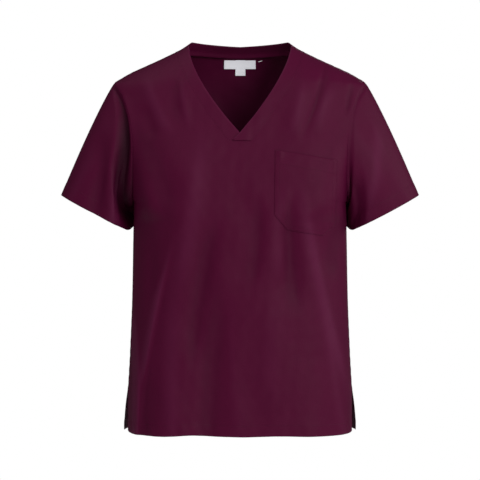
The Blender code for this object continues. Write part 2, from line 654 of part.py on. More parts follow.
# ---------------------------------------------------------------- the garment
def build():
    for old in list(bpy.data.objects):
        bpy.data.objects.remove(old, do_unlink=True)
    wearer = bpy.data.objects.new("wearer", None)
    bpy.context.scene.collection.objects.link(wearer)
    burgundy = {
        name: material(f"{name}_cloth", (0.075, 0.008, 0.024), 0.85)
        for name in ("front_panel", "back_panel", "sleeve", "neckband", "chest_pocket")
    }
    white = material("label_cloth", (0.75, 0.75, 0.76), 0.7)

    front, back = panel(-1), panel(1)
    left = armhole(front, back)
    right = left * (-1.0, 1.0, 1.0)
    grids = {
        "front_panel": (front, "front_panel"),
        "back_panel": (back, "back_panel"),
        "sleeve_left": (sleeve("sleeve_left", left, 1.0), "sleeve"),
        "sleeve_right": (sleeve("sleeve_right", right, -1.0), "sleeve"),
        "neckband_front_left": (front_band(1.0), "neckband"),
        "neckband_front_right": (front_band(-1.0), "neckband"),
        "neckband_back": (back_band(), "neckband"),
    }
    pieces = [
        {"name": name, "grid": grid, "closed": cloth == "sleeve", "cloth": burgundy[cloth]}
        for name, (grid, cloth) in grids.items()
    ]
    join_at_seams(pieces)
    for piece in pieces:
        outer = piece["grid"] + piece["shift"]
        if piece["name"] == "neckband_front_left":
            climb = smooth((np.array(NECK_STEPS) - LAP_FROM) / (LAP_FULL - LAP_FROM))
            outer = outer + piece["normals"] * (climb * (CLOTH + SEAM_GAP))[:, None, None]
        inner = outer - piece["inset"]
        piece["inner"] = inner
        faces, border = grid_faces(*outer.shape[:2], piece["closed"])
        outer, inner = outer.reshape(-1, 3), inner.reshape(-1, 3)
        solid(piece["name"], outer, inner, faces, border, piece["cloth"], wearer)

    near, far, faces, border = patch(front, pocket_outline(), LYING_GAP, CLOTH)
    solid("chest_pocket", far, near, faces, border, burgundy["chest_pocket"], wearer)
    back_inside = pieces[1]["inner"]
    strips = {
        "size_tab": (strip_outline(TAB_WIDTH, TAB_MID_X, LABEL_TOP_Z, TAB_FOOT_Z), LYING_GAP),
        "neck_label": (
            strip_outline(LABEL_WIDTH, 0.0, LABEL_TOP_Z, LABEL_FOOT_Z),
            LYING_GAP + LABEL_CLOTH + LYING_GAP,
        ),
    }
    for name, (outline, gap) in strips.items():
        near, far, faces, border = patch(back_inside, outline, gap, LABEL_CLOTH)
        solid(name, far, near, faces, border, white, wearer)


build()
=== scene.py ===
# %% [markdown]
# # A short-sleeved V-neck scrub top
#
# This lesson dresses the bare solids of a scrub top, the loose shirt that hospital staff wear. It is shown
# filled out, as if somebody wore it. The real one is cut from flat pieces of poly-cotton poplin: a front, a
# back, two sleeves, a folded neckband and a patch pocket. Each piece here is one surface worked out from the
# same sizes as its solid, then given folds, a wall of cloth, hems and stitches.

# %% The fixed frame
import json
import math

import bpy
import numpy as np
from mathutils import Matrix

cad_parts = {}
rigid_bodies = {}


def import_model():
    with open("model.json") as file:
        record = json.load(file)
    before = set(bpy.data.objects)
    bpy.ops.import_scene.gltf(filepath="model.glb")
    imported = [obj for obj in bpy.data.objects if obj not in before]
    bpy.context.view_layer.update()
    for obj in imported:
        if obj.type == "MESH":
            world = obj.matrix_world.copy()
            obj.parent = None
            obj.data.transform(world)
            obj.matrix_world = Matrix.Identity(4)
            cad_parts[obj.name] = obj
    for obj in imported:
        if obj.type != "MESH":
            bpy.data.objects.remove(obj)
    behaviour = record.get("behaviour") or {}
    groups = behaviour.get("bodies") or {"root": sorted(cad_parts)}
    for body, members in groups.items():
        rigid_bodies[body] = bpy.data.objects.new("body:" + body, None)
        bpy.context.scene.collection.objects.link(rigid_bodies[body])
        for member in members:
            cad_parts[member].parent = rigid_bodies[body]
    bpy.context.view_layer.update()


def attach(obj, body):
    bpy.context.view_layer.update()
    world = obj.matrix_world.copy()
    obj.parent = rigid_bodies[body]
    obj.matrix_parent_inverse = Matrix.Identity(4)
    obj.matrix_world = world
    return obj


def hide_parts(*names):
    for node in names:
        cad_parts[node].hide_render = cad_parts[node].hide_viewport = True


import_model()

# %% [markdown]
# ## The cut
#
# All shapes are worked out in millimetres, with x to the wearer's left, y to the wearer's back and z up from
# the neck. A tailor would write the same numbers on the pattern. They are first turned into level sections of
# the body, because a filled-out shirt is easiest to describe by how wide and how deep it is at each height.

# %% Sizes of the cut
HEM_Z, VENT_TOP_Z, UNDERARM_Z = -707.0, -625.0, -292.0
VENT_OPENING, VENT_SPLAY = 7.0, 8.3
SHOULDER_X, NECK_X, NECK_Z = 228.7, 94.0, -8.0
SHOULDER_SLOPE, SHOULDER_CROWN = 0.4937, 2.3
BAND_WIDTH = 26.0
ARMHOLE_DEPTH_FRONT, ARMHOLE_DEPTH_BACK = 72.0, 75.0
SWELL_BELOW, SWELL_ABOVE, SIDE_HOLD = 90.0, 30.0, 6.0
V_TIP_Z, BAND_BEND, BAND_FOOT, LAP_X = -170.4, (105.3, -75.5), (22.0, -184.0), 13.7
V_BEND = {"left": (84.5, -71.0), "right": (90.0, -71.5)}
BACK_NECK_DEPTH = 60.0
SLEEVE_TIP, SLEEVE_HEM_SLOPE, SLEEVE_MID = (326.7, -278.2), 0.521, (262.0, 5.0)
SLEEVE_INNER_REACH, SLEEVE_INNER_BACK, SLEEVE_HALF_DEPTH = 71.0, 36.0, 57.0
SLEEVE_LIFT, SLEEVE_LIFT_DEGREES, SLEEVE_CROWN = 17.0, (141.0, 171.0, 205.0, 325.0), 5.7
SLEEVE_HEM_BOW = 1.9
POCKET_LEFT_X, POCKET_TOP_Z, POCKET_WIDTH, POCKET_HEIGHT = 62.6, -202.2, 110.0, 137.0
POCKET_CORNER, POCKET_DROOP, POCKET_LEAN = 23.0, 17.6, 2.5
LABEL_WIDTH, LABEL_MID_X, LABEL_TOP_Z, LABEL_FOOT_Z = 58.6, -0.3, -24.0, -39.5
TAB_WIDTH, TAB_MID_X, TAB_FOOT_Z = 18.4, 0.8, -52.2
LAP_FROM, LAP_FULL = 0.54, 0.93
print("neck point to hem", NECK_Z - HEM_Z, "mm; shoulder seam to shoulder seam", 2 * SHOULDER_X, "mm")


# %% Tables, curves and blends
def table(text):
    """A dictionary of arrays from a table written as text: column names first, notes in lines with a #."""
    head, *rows = [line.split() for line in text.splitlines() if line.strip() and "#" not in line]
    return dict(zip(head, np.array(rows, float).T, strict=True))


def smooth(u):
    """From 0 at u = 0 to 1 at u = 1, level at both ends: u squared times (3 minus 2 u)."""
    u = np.clip(u, 0.0, 1.0)
    return u * u * (3.0 - 2.0 * u)


def lerp(a, b, u):
    return a + (b - a) * u


def unit(v):
    return v / np.maximum(np.linalg.norm(v, axis=-1, keepdims=True), 1e-9)


def bell(u):
    """1 at u = 0, falling off softly to both sides: e to the power of minus u squared."""
    return np.exp(-(u**2))


def quarter_round(u):
    """From 0 at u = 0 along a quarter of an ellipse, to 1 from u = 1 on."""
    return np.sqrt(1.0 - (1.0 - np.clip(u, 0.0, 1.0)) ** 2)


def bezier(p0, p1, p2, t):
    """A curve that leaves p0 towards p1 and comes into p2 from p1."""
    t = np.asarray(t, float)[..., None]
    return (1 - t) ** 2 * np.array(p0) + 2 * t * (1 - t) * np.array(p1) + t**2 * np.array(p2)


def through(xs, ys, x):
    """A smooth curve through table rows that never overshoots between two rows (monotone cubic)."""
    step = np.diff(xs)
    rise = np.diff(ys) / step
    slope = np.zeros_like(ys)
    slope[0], slope[-1] = rise[0], rise[-1]
    bends = rise[:-1] * rise[1:] > 0.0
    left, right = 2.0 * step[1:] + step[:-1], step[1:] + 2.0 * step[:-1]
    inner = slope[1:-1]
    inner[bends] = (left + right)[bends] / (left[bends] / rise[:-1][bends] + right[bends] / rise[1:][bends])
    x = np.clip(x, xs[0], xs[-1])
    i = np.clip(np.searchsorted(xs, x, side="right") - 1, 0, len(step) - 1)
    u = (x - xs[i]) / step[i]
    start = ys[i] * (1.0 + 2.0 * u) * (1.0 - u) ** 2 + slope[i] * step[i] * u * (1.0 - u) ** 2
    end = ys[i + 1] * u**2 * (3.0 - 2.0 * u) - slope[i + 1] * step[i] * u**2 * (1.0 - u)
    return start + end


print("blend at a quarter:", smooth(0.25))

# %% Level sections of the body
SECTIONS = table("""
    z half_width front back squareness
    -707 203.2 130 118 5.1
    -640 203.6 126 114 4.9
    -565 200.3 122.5 108 3.9
    -457 196.2 122 101 3.1
    -375 194.8 123.5 103.5 3.3
    -332 194.2 124 105 4.4
    -292 194.2 121.5 108 8.5
    -244 192.5 117 110.5 8
    -200 192.5 107.5 111.5 7
    -149 197.5 96.5 109 4.8
    -105 211 89.5 104.5 3.8
    -74.5 228.7 83.5 99.5 2.7
    -50 228.7 73 93 2.3
    -35 228.7 64 87 2.2
    -22 228.7 55 80 2.2
    -8 228.7 44 70 2.2
""")
NECK_EDGE = table("""
    degrees edge_z seam_z
    0 -5.5 -17.3
    10 -1.4 -18
    22 2.4 -18.6
    45 1.2 -19
    90 -2.4 -22
""")
SHOULDER_LINE = table("""
    out rise
    0 2.5
    16 0.2
    50 -0.9
    79 0.1
    98 1.4
    108 1.8
    118 1.5
    134.7 0.3
""")


def section(column, z):
    return through(SECTIONS["z"], SECTIONS[column], z)


def ridge(x):
    """Height of the shoulder seam at x: a straight slope, a slight crown and the rise read from its table."""
    out = np.abs(x) - NECK_X
    run = SHOULDER_X - NECK_X
    crown = SHOULDER_CROWN * np.sin(np.pi * np.clip(out / run, 0.0, 1.0))
    inner_slope = SHOULDER_SLOPE - SHOULDER_CROWN * np.pi / run
    rise = through(SHOULDER_LINE["out"], SHOULDER_LINE["rise"], out)
    return NECK_Z - np.where(out > 0.0, SHOULDER_SLOPE, inner_slope) * out + crown + rise


SHOULDER_Z = float(ridge(SHOULDER_X))
ARMHOLE_MID_Z = (SHOULDER_Z + UNDERARM_Z) / 2.0
ARMHOLE_HALF = (SHOULDER_Z - UNDERARM_Z) / 2.0
NECK_SEAM_X = NECK_X + BAND_WIDTH / math.hypot(1.0, SHOULDER_SLOPE)
NECK_SEAM = (NECK_SEAM_X, float(ridge(NECK_SEAM_X)))


def vent(z):
    """0 above the side vents, 1 at the hem: a quarter of a sine, so that a vent parts at once."""
    return np.sin(np.pi / 2.0 * np.clip((VENT_TOP_Z - z) / (VENT_TOP_Z - HEM_Z), 0.0, 1.0))


def half_width(z, side):
    return section("half_width", z) + (VENT_SPLAY * vent(z) if side > 0 else 0.0)


def ridge_x(z):
    """Where the shoulder seam is at height z."""
    x = np.linspace(NECK_X / 2.0, SHOULDER_X, 400)
    return np.interp(-z, -ridge(x), x)


def neck_table(column, x):
    """A height round the back neck, at x on the seam under the band."""
    degrees = np.degrees(np.arccos(np.clip(np.abs(x) / NECK_SEAM_X, 0.0, 1.0)))
    return through(NECK_EDGE["degrees"], NECK_EDGE[column], degrees)


print("armhole from", round(UNDERARM_Z), "to", round(SHOULDER_Z), "mm")

# %% [markdown]
# ## Folds
#
# A loose shirt falls from the shoulders and the fullest part of the chest, so its long folds run down from
# there and fade out. Cloth under the arm is pulled in slanting creases. Simulating cloth gives folds, but
# never the wanted ones, so each is a row of a table here: where it starts and ends, how far it bows sideways,
# how wide each of its two flanks is, and how high it stands (below zero it is a trough).
#
# The back's rows were listed one by one. Most rows of the front, and those on the front of the sleeves, were
# drafted and then changed by a separate fitting program. That is why their numbers are so uneven, and why 27,
# 15 and 8 come up so often: they are the limits which that program was given, not habits of cloth.
# Rows written by hand all through would be the better ones to learn from.


# %% Folds of the front and back
FRONT_FOLDS = table("""
    x0 z0 x1 z1 bow left right height
    # from the shoulders down over the chest
    -110.5 -57 -108.2 -158.4 6.4 14.5 9.8 -3
    -170.9 -51.8 -111.5 -182.7 8.7 22.9 11.7 3.3
    -169.6 -115.4 -146.3 -186.4 3.1 13 10.3 -2.9
    -108.2 -63 -88.6 -173.8 0.4 9.3 8.3 1.9
    117 -65.8 92.7 -182.2 -0.2 14.9 16.9 2.6
    161.8 -9.2 104.2 -188.8 -7.3 5.3 8.3 -5.1
    173.7 -79.3 132.9 -169.8 4.2 23 17.9 2.7
    204 -72 188 -142 0 5 7 -7
    # pulled in from under the arms
    -201.1 -132.3 -118.3 -358.4 -13.1 27 27 -8
    -180.5 -262 -156.3 -470.7 -11 21.4 27 -5.6
    196.6 -150.1 133.6 -251.1 3.3 20.5 17 -2.3
    176.2 -262 176.6 -381.4 4.6 10.1 14.1 -3
    # wearer's right half of the body
    -112.4 -344.5 -184 -719.3 11.5 14.9 5 5.7
    -65.6 -139.9 -122.4 -485.3 -10.4 27 27 3.4
    -37.7 -299.5 -87.9 -614 6.8 20.7 16.3 -8
    -38.4 -404.7 -68.3 -855.4 -1.6 27 26.9 -8
    -109.7 -407.7 -110.9 -798.9 11 24.8 20.2 2.7
    -197 -470 -193 -790 -9 10 9 15
    -165.8 -571.1 -163.4 -794.8 10.4 11 24.9 -8
    -26.6 -391.5 7.6 -777.3 2.3 14.5 17.5 0.9
    # middle and wearer's left half
    34.3 -270.9 19.6 -460.4 -5 27 10.1 -4.9
    85.6 -253.5 77.7 -447.6 8 25.1 9.9 3.8
    85.3 -267.2 105.9 -512.8 8.8 23.6 18.2 -8
    104.2 -240.3 208.3 -672.7 8.4 23.3 14 5.3
    148 -468.3 202.6 -779.9 3.4 15.2 9.7 1.8
    69.3 -428.5 65.2 -668.6 11 27 26.1 1.6
    193.9 -305.2 170.9 -441.9 14 23.6 15.6 -8
""")
BACK_FOLDS = table("""
    x0 z0 x1 z1 bow left right height
    -112 -46 -82 -188 4 10 15 -2.8
    -150 -60 -120 -190 3 12 11 1.6
    126 -48 90 -196 -4 15 10 -2.8
    158 -66 132 -180 -3 10 12 1.5
    8 -40 2 -150 2 24 24 -1.8
    -188 -165 -92 -290 -7 17 24 -4.6
    -190 -215 -122 -345 -5 12 15 -2.6
    188 -170 85 -305 8 24 17 -5
    190 -225 128 -350 5 14 12 -2.4
    -62 -300 -78 -800 5 16 24 -5.6
    -36 -370 -42 -800 4 12 22 3
    56 -290 72 -800 -5 24 16 -5.2
    30 -380 38 -800 -3 20 11 2.8
    -2 -360 4 -800 0 22 22 -2.4
    -118 -310 -162 -710 5 12 9 5
    -138 -400 -178 -730 3 9 9 -2.6
    120 -330 156 -730 -5 10 13 5
    140 -420 180 -720 -3 9 9 -2.4
    -100 -420 -112 -700 3 14 12 -2.4
    98 -430 108 -680 -3 12 14 -2.4
""")
print(len(FRONT_FOLDS["height"]), "folds in front,", len(BACK_FOLDS["height"]), "at the back")

# %% Folds of the sleeves
# Round a sleeve by angle (0 on top, 90 in front, 180 under the arm), along it in percent.
SLEEVE_FOLDS = {
    "sleeve_right": table("""
        turn0 along0 turn1 along1 bow left right height
        33.8 24.1 100.1 130 12 12.2 13.8 -8.6
        67.3 27 120.6 130 12 6.7 9.9 4
        72.5 31.7 109.3 64.3 -1.2 8.8 6.1 -2.3
        43.2 44.2 44 129.3 1.7 15 15 1.6
        87.8 29 121.4 120.9 9 13.3 12.6 4.7
        32 22.2 73 75.1 4.6 15 13.6 3.4
        300 8 280 112 -3 15 12 -5.4
        322 20 306 115 2 10 12 2
        238 8 254 92 3 10 12 -3.6
        262 30 268 118 0 9 9 1.8
    """),
    "sleeve_left": table("""
        turn0 along0 turn1 along1 bow left right height
        72 4.8 67.4 86.5 -1.6 14 6.3 1
        78.9 22.9 131.6 118.6 -4 9 14.8 2.1
        48.4 1 46.3 89 6.5 5.4 5.3 -0.4
        46.9 25.7 44.1 129.4 5.8 12.2 9.4 0.6
        32 27.5 108.2 79.6 -0.4 14.1 15 3.9
        116.2 15.5 150 99.4 -12 9.5 14.9 -4.1
        68.4 46.5 72.3 96 -3.6 8.7 11.8 -0.4
        292 4 274 112 -3 14 15 -5.4
        316 26 300 116 2 10 10 2
        246 12 240 96 2 12 11 3.2
    """),
}
print({name: len(folds["height"]) for name, folds in SLEEVE_FOLDS.items()}, "folds")

# %% Relief of a table of folds
FOLD_FADE = 0.33  # share of a fold's length in which each of its ends fades out
CREASE_SHARE, CREASE_FULL = 0.55, 5.0  # a crease's width by its fold's, and the height that tints it fully
RIPPLE_WAVES = 12


def fold_relief(folds, a, b):
    """Height of all the folds at (a, b).

    Across a fold the height is a bell of distance over flank width, and each side has its own flank. Along
    the fold it grows and fades smoothly, and the line itself bows sideways as a parabola.
    """
    total = np.zeros(np.broadcast(a, b).shape)
    for a0, b0, a1, b1, bow, left, right, height in zip(*folds.values(), strict=True):
        length = math.hypot(a1 - a0, b1 - b0)
        along = ((a - a0) * (a1 - a0) + (b - b0) * (b1 - b0)) / length**2
        across = ((a - a0) * (b1 - b0) - (b - b0) * (a1 - a0)) / length
        across = across - bow * 4.0 * along * (1.0 - along)
        flank = np.where(across > 0.0, left, right)
        fade = smooth(along / FOLD_FADE) * smooth((1.0 - along) / FOLD_FADE)
        total += height * fade * bell(across / flank)
    return total


def crease_sheen_and_shade(folds, a, b):
    """1 along a high ridge and -1 along a deep trough: the same folds, only narrower."""
    # a mark for painted light: the shader paints a paler sheen along ridges and deeper shade along troughs
    narrow = folds | {flank: CREASE_SHARE * folds[flank] for flank in ("left", "right")}
    return np.clip(fold_relief(narrow, a, b) / CREASE_FULL, -1.0, 1.0)


def ripples(a, b, size, seed):
    """Soft unevenness about 1 high: plane waves of about one size, in seeded directions, added up."""
    rng = np.random.default_rng(seed)
    turn, phase = rng.uniform(0.0, 2.0 * np.pi, (2, RIPPLE_WAVES))
    reach = size * rng.uniform(0.75, 1.4, RIPPLE_WAVES)
    waves = np.cos((a[..., None] * np.cos(turn) + b[..., None] * np.sin(turn)) * 2.0 * np.pi / reach + phase)
    return waves.sum(axis=-1) / math.sqrt(RIPPLE_WAVES)


print("a fold in the middle of the chest:", fold_relief(FRONT_FOLDS, np.array(0.0), np.array(-500.0)), "mm")


# %% How deep the body is at each place
STRAIGHT_ACROSS, SLANTING = 0.5, 1.0  # powers that shape a level section below and at the armholes
UNEVENNESS = ((0.7, 0.55, 62.0, 4), (0.22, 0.7, 23.0, 9))  # height, squeeze in z, size and seed of ripples


def depth(x, z, side):
    """How far the cloth stands from the side line, in front (side -1) or at the back (side 1).

    A level section is a rounded oblong. It ends on the side seam or the shoulder seam, or on the armhole's
    edge, an ellipse seen from the side. Folds and a slight unevenness are added, and fade at the seams.
    """
    s = np.clip(np.abs(x) / np.minimum(half_width(z, side), ridge_x(z)), 0.0, 1.0)
    above, below = SHOULDER_Z - z, z - UNDERARM_Z
    armhole_edge = quarter_round(above / ARMHOLE_HALF) * quarter_round(below / ARMHOLE_HALF)
    reach = ARMHOLE_HALF + SWELL_BELOW
    swell = smooth((above + SWELL_ABOVE) / reach) * smooth((below + SWELL_BELOW) / reach)
    height = ARMHOLE_DEPTH_FRONT if side < 0 else ARMHOLE_DEPTH_BACK
    edge = height * lerp(swell, armhole_edge, s**SIDE_HOLD) + VENT_OPENING * vent(z)
    middle = section("front" if side < 0 else "back", z)
    crosswise = (1.0 - s ** section("squareness", z)) ** lerp(STRAIGHT_ACROSS, SLANTING, swell)
    relief = fold_relief(FRONT_FOLDS if side < 0 else BACK_FOLDS, x, z)
    uneven = sum(rise * ripples(x, z * squash, size, seed + side) for rise, squash, size, seed in UNEVENNESS)
    return edge + (middle - edge) * crosswise + (relief + uneven) * (1.0 - s**SIDE_HOLD)


print("depth in front at the chest:", round(float(depth(np.array(0.0), np.array(-250.0), -1)), 1), "mm")

# %% [markdown]
# ## Grids, walls and meshes
#
# Each piece of cloth is a grid: rows one way, columns the other, and a point in space at each crossing. Cloth
# has two sides, so `shell` adds a second grid one wall further in and closes the rim with a half-round, which
# is what a turned edge looks like. Where cloth is turned over and sewn, as at a hem, the wall is
# thicker. The grid also carries a UV map in metres of cloth, so that a weave has its true size everywhere.


# %% Measuring a grid
def lengths(grid, axis):
    """Length along a grid's lines from their first point."""
    step = np.linalg.norm(np.diff(grid, axis=axis), axis=-1)
    return np.concatenate([np.zeros_like(step.take([0], axis)), np.cumsum(step, axis=axis)], axis=axis)


def away_from(grid, line):
    """Distance of each point of a grid from a line through given points.

    The nearest given point is found first, by squared distances, and then the nearest place on the two
    straight stretches that meet there.
    """
    flat = grid.reshape(-1, 3)
    squares = (flat**2).sum(axis=-1)[:, None] + (line**2).sum(axis=-1) - 2.0 * flat @ line.T
    near = np.clip(squares.argmin(axis=1), 1, len(line) - 2)
    found = []
    for start, end in ((line[near - 1], line[near]), (line[near], line[near + 1])):
        run = end - start
        share = ((flat - start) * run).sum(axis=-1) / np.maximum((run**2).sum(axis=-1), 1e-12)
        found.append(np.linalg.norm(flat - start - np.clip(share, 0.0, 1.0)[:, None] * run, axis=-1))
    return np.minimum(*found).reshape(grid.shape[:2])


def grid_normals(grid, closed=False):
    """Unit normals: the cross product of the two directions of the grid, turned outwards."""
    if closed:
        crosswise = np.roll(grid, -1, axis=1) - np.roll(grid, 1, axis=1)
        middle = grid.mean(axis=1, keepdims=True)
    else:
        crosswise = np.gradient(grid, axis=1)
        middle = np.array([0.0, 0.0, -360.0])
    normals = unit(np.cross(crosswise, np.gradient(grid, axis=0)))
    return -normals if np.sum(normals * unit(grid - middle)) < 0.0 else normals


def band_of(distance, start, end, soft=2.0):
    """1 where the distance lies between start and end, 0 elsewhere, with soft sides."""
    return smooth((distance - start) / soft) * (1.0 - smooth((distance - end) / soft))


def puckers(along, away, pitch, height, reach, seed):
    """Little gathers that sewing leaves beside a seam: uneven waves along it that fade out away from it."""
    rng = np.random.default_rng(seed)
    phase = rng.uniform(0.0, 2.0 * np.pi, 4)
    wobble = 1.6 * np.sin(along / (pitch * 3.1) + phase[0]) + 1.1 * np.sin(along / (pitch * 1.7) + phase[1])
    strength = 0.55 + 0.45 * np.sin(along / (pitch * 4.3) + phase[2])
    lean = 0.5 * away / pitch
    wave = np.sin(2.0 * np.pi * (along / pitch + lean) + wobble + phase[3])
    return height * strength * wave * bell(away / reach)


# %% Turning a grid into a mesh
def placed(name, data):
    """An object at the origin that shows this data."""
    made = bpy.data.objects.new(name, data)
    bpy.context.scene.collection.objects.link(made)
    return made


def mesh_object(name, points_mm, faces, material):
    """A mesh in metres, shaded smooth."""
    mesh = bpy.data.meshes.new(name)
    mesh.from_pydata((points_mm * 0.001).tolist(), [], faces.tolist())
    mesh.materials.append(material)
    mesh.shade_smooth()
    return placed(name, mesh)


def quads(index):
    """The faces of a grid of point numbers."""
    return np.stack([index[:-1, :-1], index[:-1, 1:], index[1:, 1:], index[1:, :-1]], axis=-1).reshape(-1, 4)


def faces_outward(points, faces, normals):
    """True if the faces' own normals run with the given ones."""
    a, b, c = (points[faces[:, corner]] for corner in (0, 1, 2))
    return float(np.sum(np.cross(b - a, c - a) * normals[faces[:, 0]])) > 0.0


def turned_edge(outer, free):
    """For each point on a free border, the direction straight out of the cloth; zero elsewhere."""
    out = np.zeros_like(outer)
    steps = {
        "foot": (np.s_[0], np.s_[1]),
        "top": (np.s_[-1], np.s_[-2]),
        "first": (np.s_[:, 0], np.s_[:, 1]),
        "last": (np.s_[:, -1], np.s_[:, -2]),
    }
    for where, share in free.items():
        edge, within = steps[where]
        out[edge] += unit(outer[edge] - outer[within]) * np.reshape(share, (-1, 1))
    return out


print("a grid of 2 x 2 points has the face", quads(np.arange(4).reshape(2, 2)).tolist())


# %% Cloth with two sides
def shell(name, outer, wall, material, closed=False, free=None, marks=None):
    """Cloth with two sides: the outer grid, the same grid one wall further in, and a rim between them.

    Rows may close into rings. On a free border the rim is rounded: its middle stands out by half the wall.
    The UV map counts metres of cloth, and marks are named values that the shader can read, one for both
    sides or a pair for the outside and the inside.
    """
    rows, columns = outer.shape[:2]
    count = rows * columns
    normals = grid_normals(outer, closed)
    wall = np.broadcast_to(wall, (rows, columns))[..., None]
    inner = outer - normals * wall
    turned = turned_edge(outer, free or {})
    rounded = (outer + inner) / 2.0 + turned * wall / 2.0
    index = np.arange(count).reshape(rows, columns)
    if closed:
        borders = [np.append(index[0], index[0, 0]), np.append(index[-1], index[-1, 0])[::-1]]
        index = np.concatenate([index, index[:, :1]], axis=1)
    else:
        borders = [np.concatenate([index[0], index[1:, -1], index[-1, -2::-1], index[-2::-1, 0]])]
    skin = quads(index)
    faces, points, own = [skin, skin[:, ::-1] + count], [outer, inner], [np.arange(count)] * 2
    inside = [np.zeros(count), np.ones(count)]
    start = 2 * count
    for line in borders:
        ring = np.append(np.arange(len(line) - 1), 0) + start
        start += len(line) - 1
        faces += [quads(np.stack([ring, line])), quads(np.stack([line + count, ring]))]
        points.append(rounded.reshape(-1, 3)[line[:-1]])
        own.append(line[:-1])
        inside.append(np.full(len(line) - 1, 0.5))
    points = np.concatenate([part.reshape(-1, 3) for part in points])
    faces, own, inside = np.concatenate(faces), np.concatenate(own), np.concatenate(inside)
    if not faces_outward(points, skin, normals.reshape(-1, 3)):
        faces = faces[:, ::-1]
    made = mesh_object(name, points, faces, material)

    # at a seam the cloth goes on into its neighbour, so its rim must not bend the shading
    sewn = np.zeros(len(points), bool)
    for line in borders:
        held = line[np.linalg.norm(turned, axis=-1).reshape(-1)[line] < 0.5]
        sewn[held] = sewn[held + count] = True
    ends = np.zeros(2 * len(made.data.edges), np.int32)
    made.data.edges.foreach_get("vertices", ends)
    sharp = made.data.attributes.new("sharp_edge", "BOOLEAN", "EDGE")
    sharp.data.foreach_set("value", sewn[ends.reshape(-1, 2)].all(axis=1))

    across, up = lengths(outer, 1), lengths(outer, 0)
    across = across.mean(axis=0) + 0.0 * up if closed else across - across[:, columns // 2][:, None]
    weave = np.stack([across, up], axis=-1).reshape(-1, 2)[own] * 0.001
    loops = np.zeros(len(made.data.loops), np.int32)
    made.data.loops.foreach_get("vertex_index", loops)
    layer = made.data.uv_layers.new(name="cloth")
    layer.data.foreach_set("uv", weave[loops].astype(np.float32).ravel())
    for key, value in (marks or {}).items():
        pair = value if isinstance(value, tuple) else (value, value)
        values = lerp(*(np.broadcast_to(side, (rows, columns)).reshape(-1)[own] for side in pair), inside)
        attribute = made.data.attributes.new(key, "FLOAT", "POINT")
        attribute.data.foreach_set("value", values.astype(np.float32))
    return made


print("shells can be made")

# %% [markdown]
# ## Colours and a helper for shader nodes
#
# Screen colours are written in hex, and the renderer counts in light, so one function turns the first into
# the second. Another adds a node with its settings and links, which keeps a material short enough to read.


# %% Linear colour and nodes
def linear(code):
    """A screen colour such as "570431" as linear RGBA, by the sRGB curve."""
    levels = [int(code[i : i + 2], 16) / 255.0 for i in (0, 2, 4)]
    return (*(v / 12.92 if v <= 0.04045 else ((v + 0.055) / 1.055) ** 2.4 for v in levels), 1.0)


def node(tree, kind, settings=None, **inputs):
    """Adds a node. Settings are its properties; an input is a value, or a socket to link from."""
    made = tree.nodes.new(kind)
    for key, value in (settings or {}).items():
        setattr(made, key, value)
    for key, value in inputs.items():
        socket = made.inputs[int(key[1:])] if key[1:].isdigit() else made.inputs[key.replace("_", " ")]
        if isinstance(value, bpy.types.NodeSocket):
            tree.links.new(value, socket)
        else:
            socket.default_value = value
    return made


def new_material(name):
    made = bpy.data.materials.new(name)
    made.use_nodes = True
    return made, made.node_tree, made.node_tree.nodes["Principled BSDF"]


def set_sockets(shader, **values):
    """Numbers and colours that are the same all over the surface go straight on to the shader's sockets."""
    for key, value in values.items():
        shader.inputs[key.replace("_", " ")].default_value = value


def layered(tree, first, *layers):
    """Colours laid over the first one, one after another. Each layer is (share, colour)."""
    for share, colour in layers:
        first = node(tree, "ShaderNodeMix", {"data_type": "RGBA"}, _0=share, _6=first, _7=colour).outputs[2]
    return first


print("burgundy is", [round(v, 4) for v in linear("570431")])

# %% [markdown]
# ## Poly-cotton poplin
#
# Scrubs are woven from a blend of polyester and cotton and dyed in the piece. Poplin is a plain weave with
# fine ribs. It has hardly any gloss: what the eye reads is colour that is a little cloudy. Light and shade are
# painted into that colour as well: a paler sheen on ridges and turned edges, deeper shade in a trough, and
# near black where cloth lies deep in a tuck or behind other cloth. An image of cloth could be wrapped round
# the pieces, but a pattern made by nodes stays sharp at any distance and follows the UV map, which counts
# metres of cloth.

# %% The weave
THREAD = 0.25  # millimetres from one thread to the next
SHOWN_THREAD = 4.0 * THREAD  # too fine to show at its real pitch, so the ribs are drawn four times as coarse
SLUB = 16.0  # length over which a thread stays equally thick
BAR_WIDTH, BAR_LENGTH = 5.0, 90.0  # groups of lengthwise threads that took up more or less dye
WEAVE_LOW, WEAVE_HIGH = 0.65, 1.35  # the range of two noises added up that counts as 0 to 1


def cloth_noise(tree, across, down, detail):
    """Noise, 0 to 1, that follows the cloth: grains so many millimetres wide across it and long down it."""
    cloth = node(tree, "ShaderNodeUVMap", {"uv_map": "cloth"}).outputs["UV"]
    scale = (1000.0 / across, 1000.0 / down, 1.0)
    drawn = node(tree, "ShaderNodeMapping", Vector=cloth, Scale=scale).outputs["Vector"]
    return node(tree, "ShaderNodeTexNoise", Vector=drawn, Scale=1.0, Detail=detail).outputs["Fac"]


def weave(tree):
    """Height of the cloth's threads, 0 to 1: noise drawn out along one set of threads and along the other."""
    lengthwise, crosswise = (
        cloth_noise(tree, *size, detail=1.0) for size in ((SHOWN_THREAD, SLUB), (SLUB, SHOWN_THREAD))
    )
    both = node(tree, "ShaderNodeMath", {"operation": "ADD"}, _0=lengthwise, _1=crosswise).outputs[0]
    spread = node(tree, "ShaderNodeMapRange", Value=both, From_Min=WEAVE_LOW, From_Max=WEAVE_HIGH)
    return spread.outputs["Result"]


def shades(code, *shares):
    """The same colour at several strengths of light."""
    return [tuple(v * share for v in linear(code)[:3]) + (1.0,) for share in shares]


print("threads", THREAD, "mm apart, drawn", SHOWN_THREAD, "mm apart")

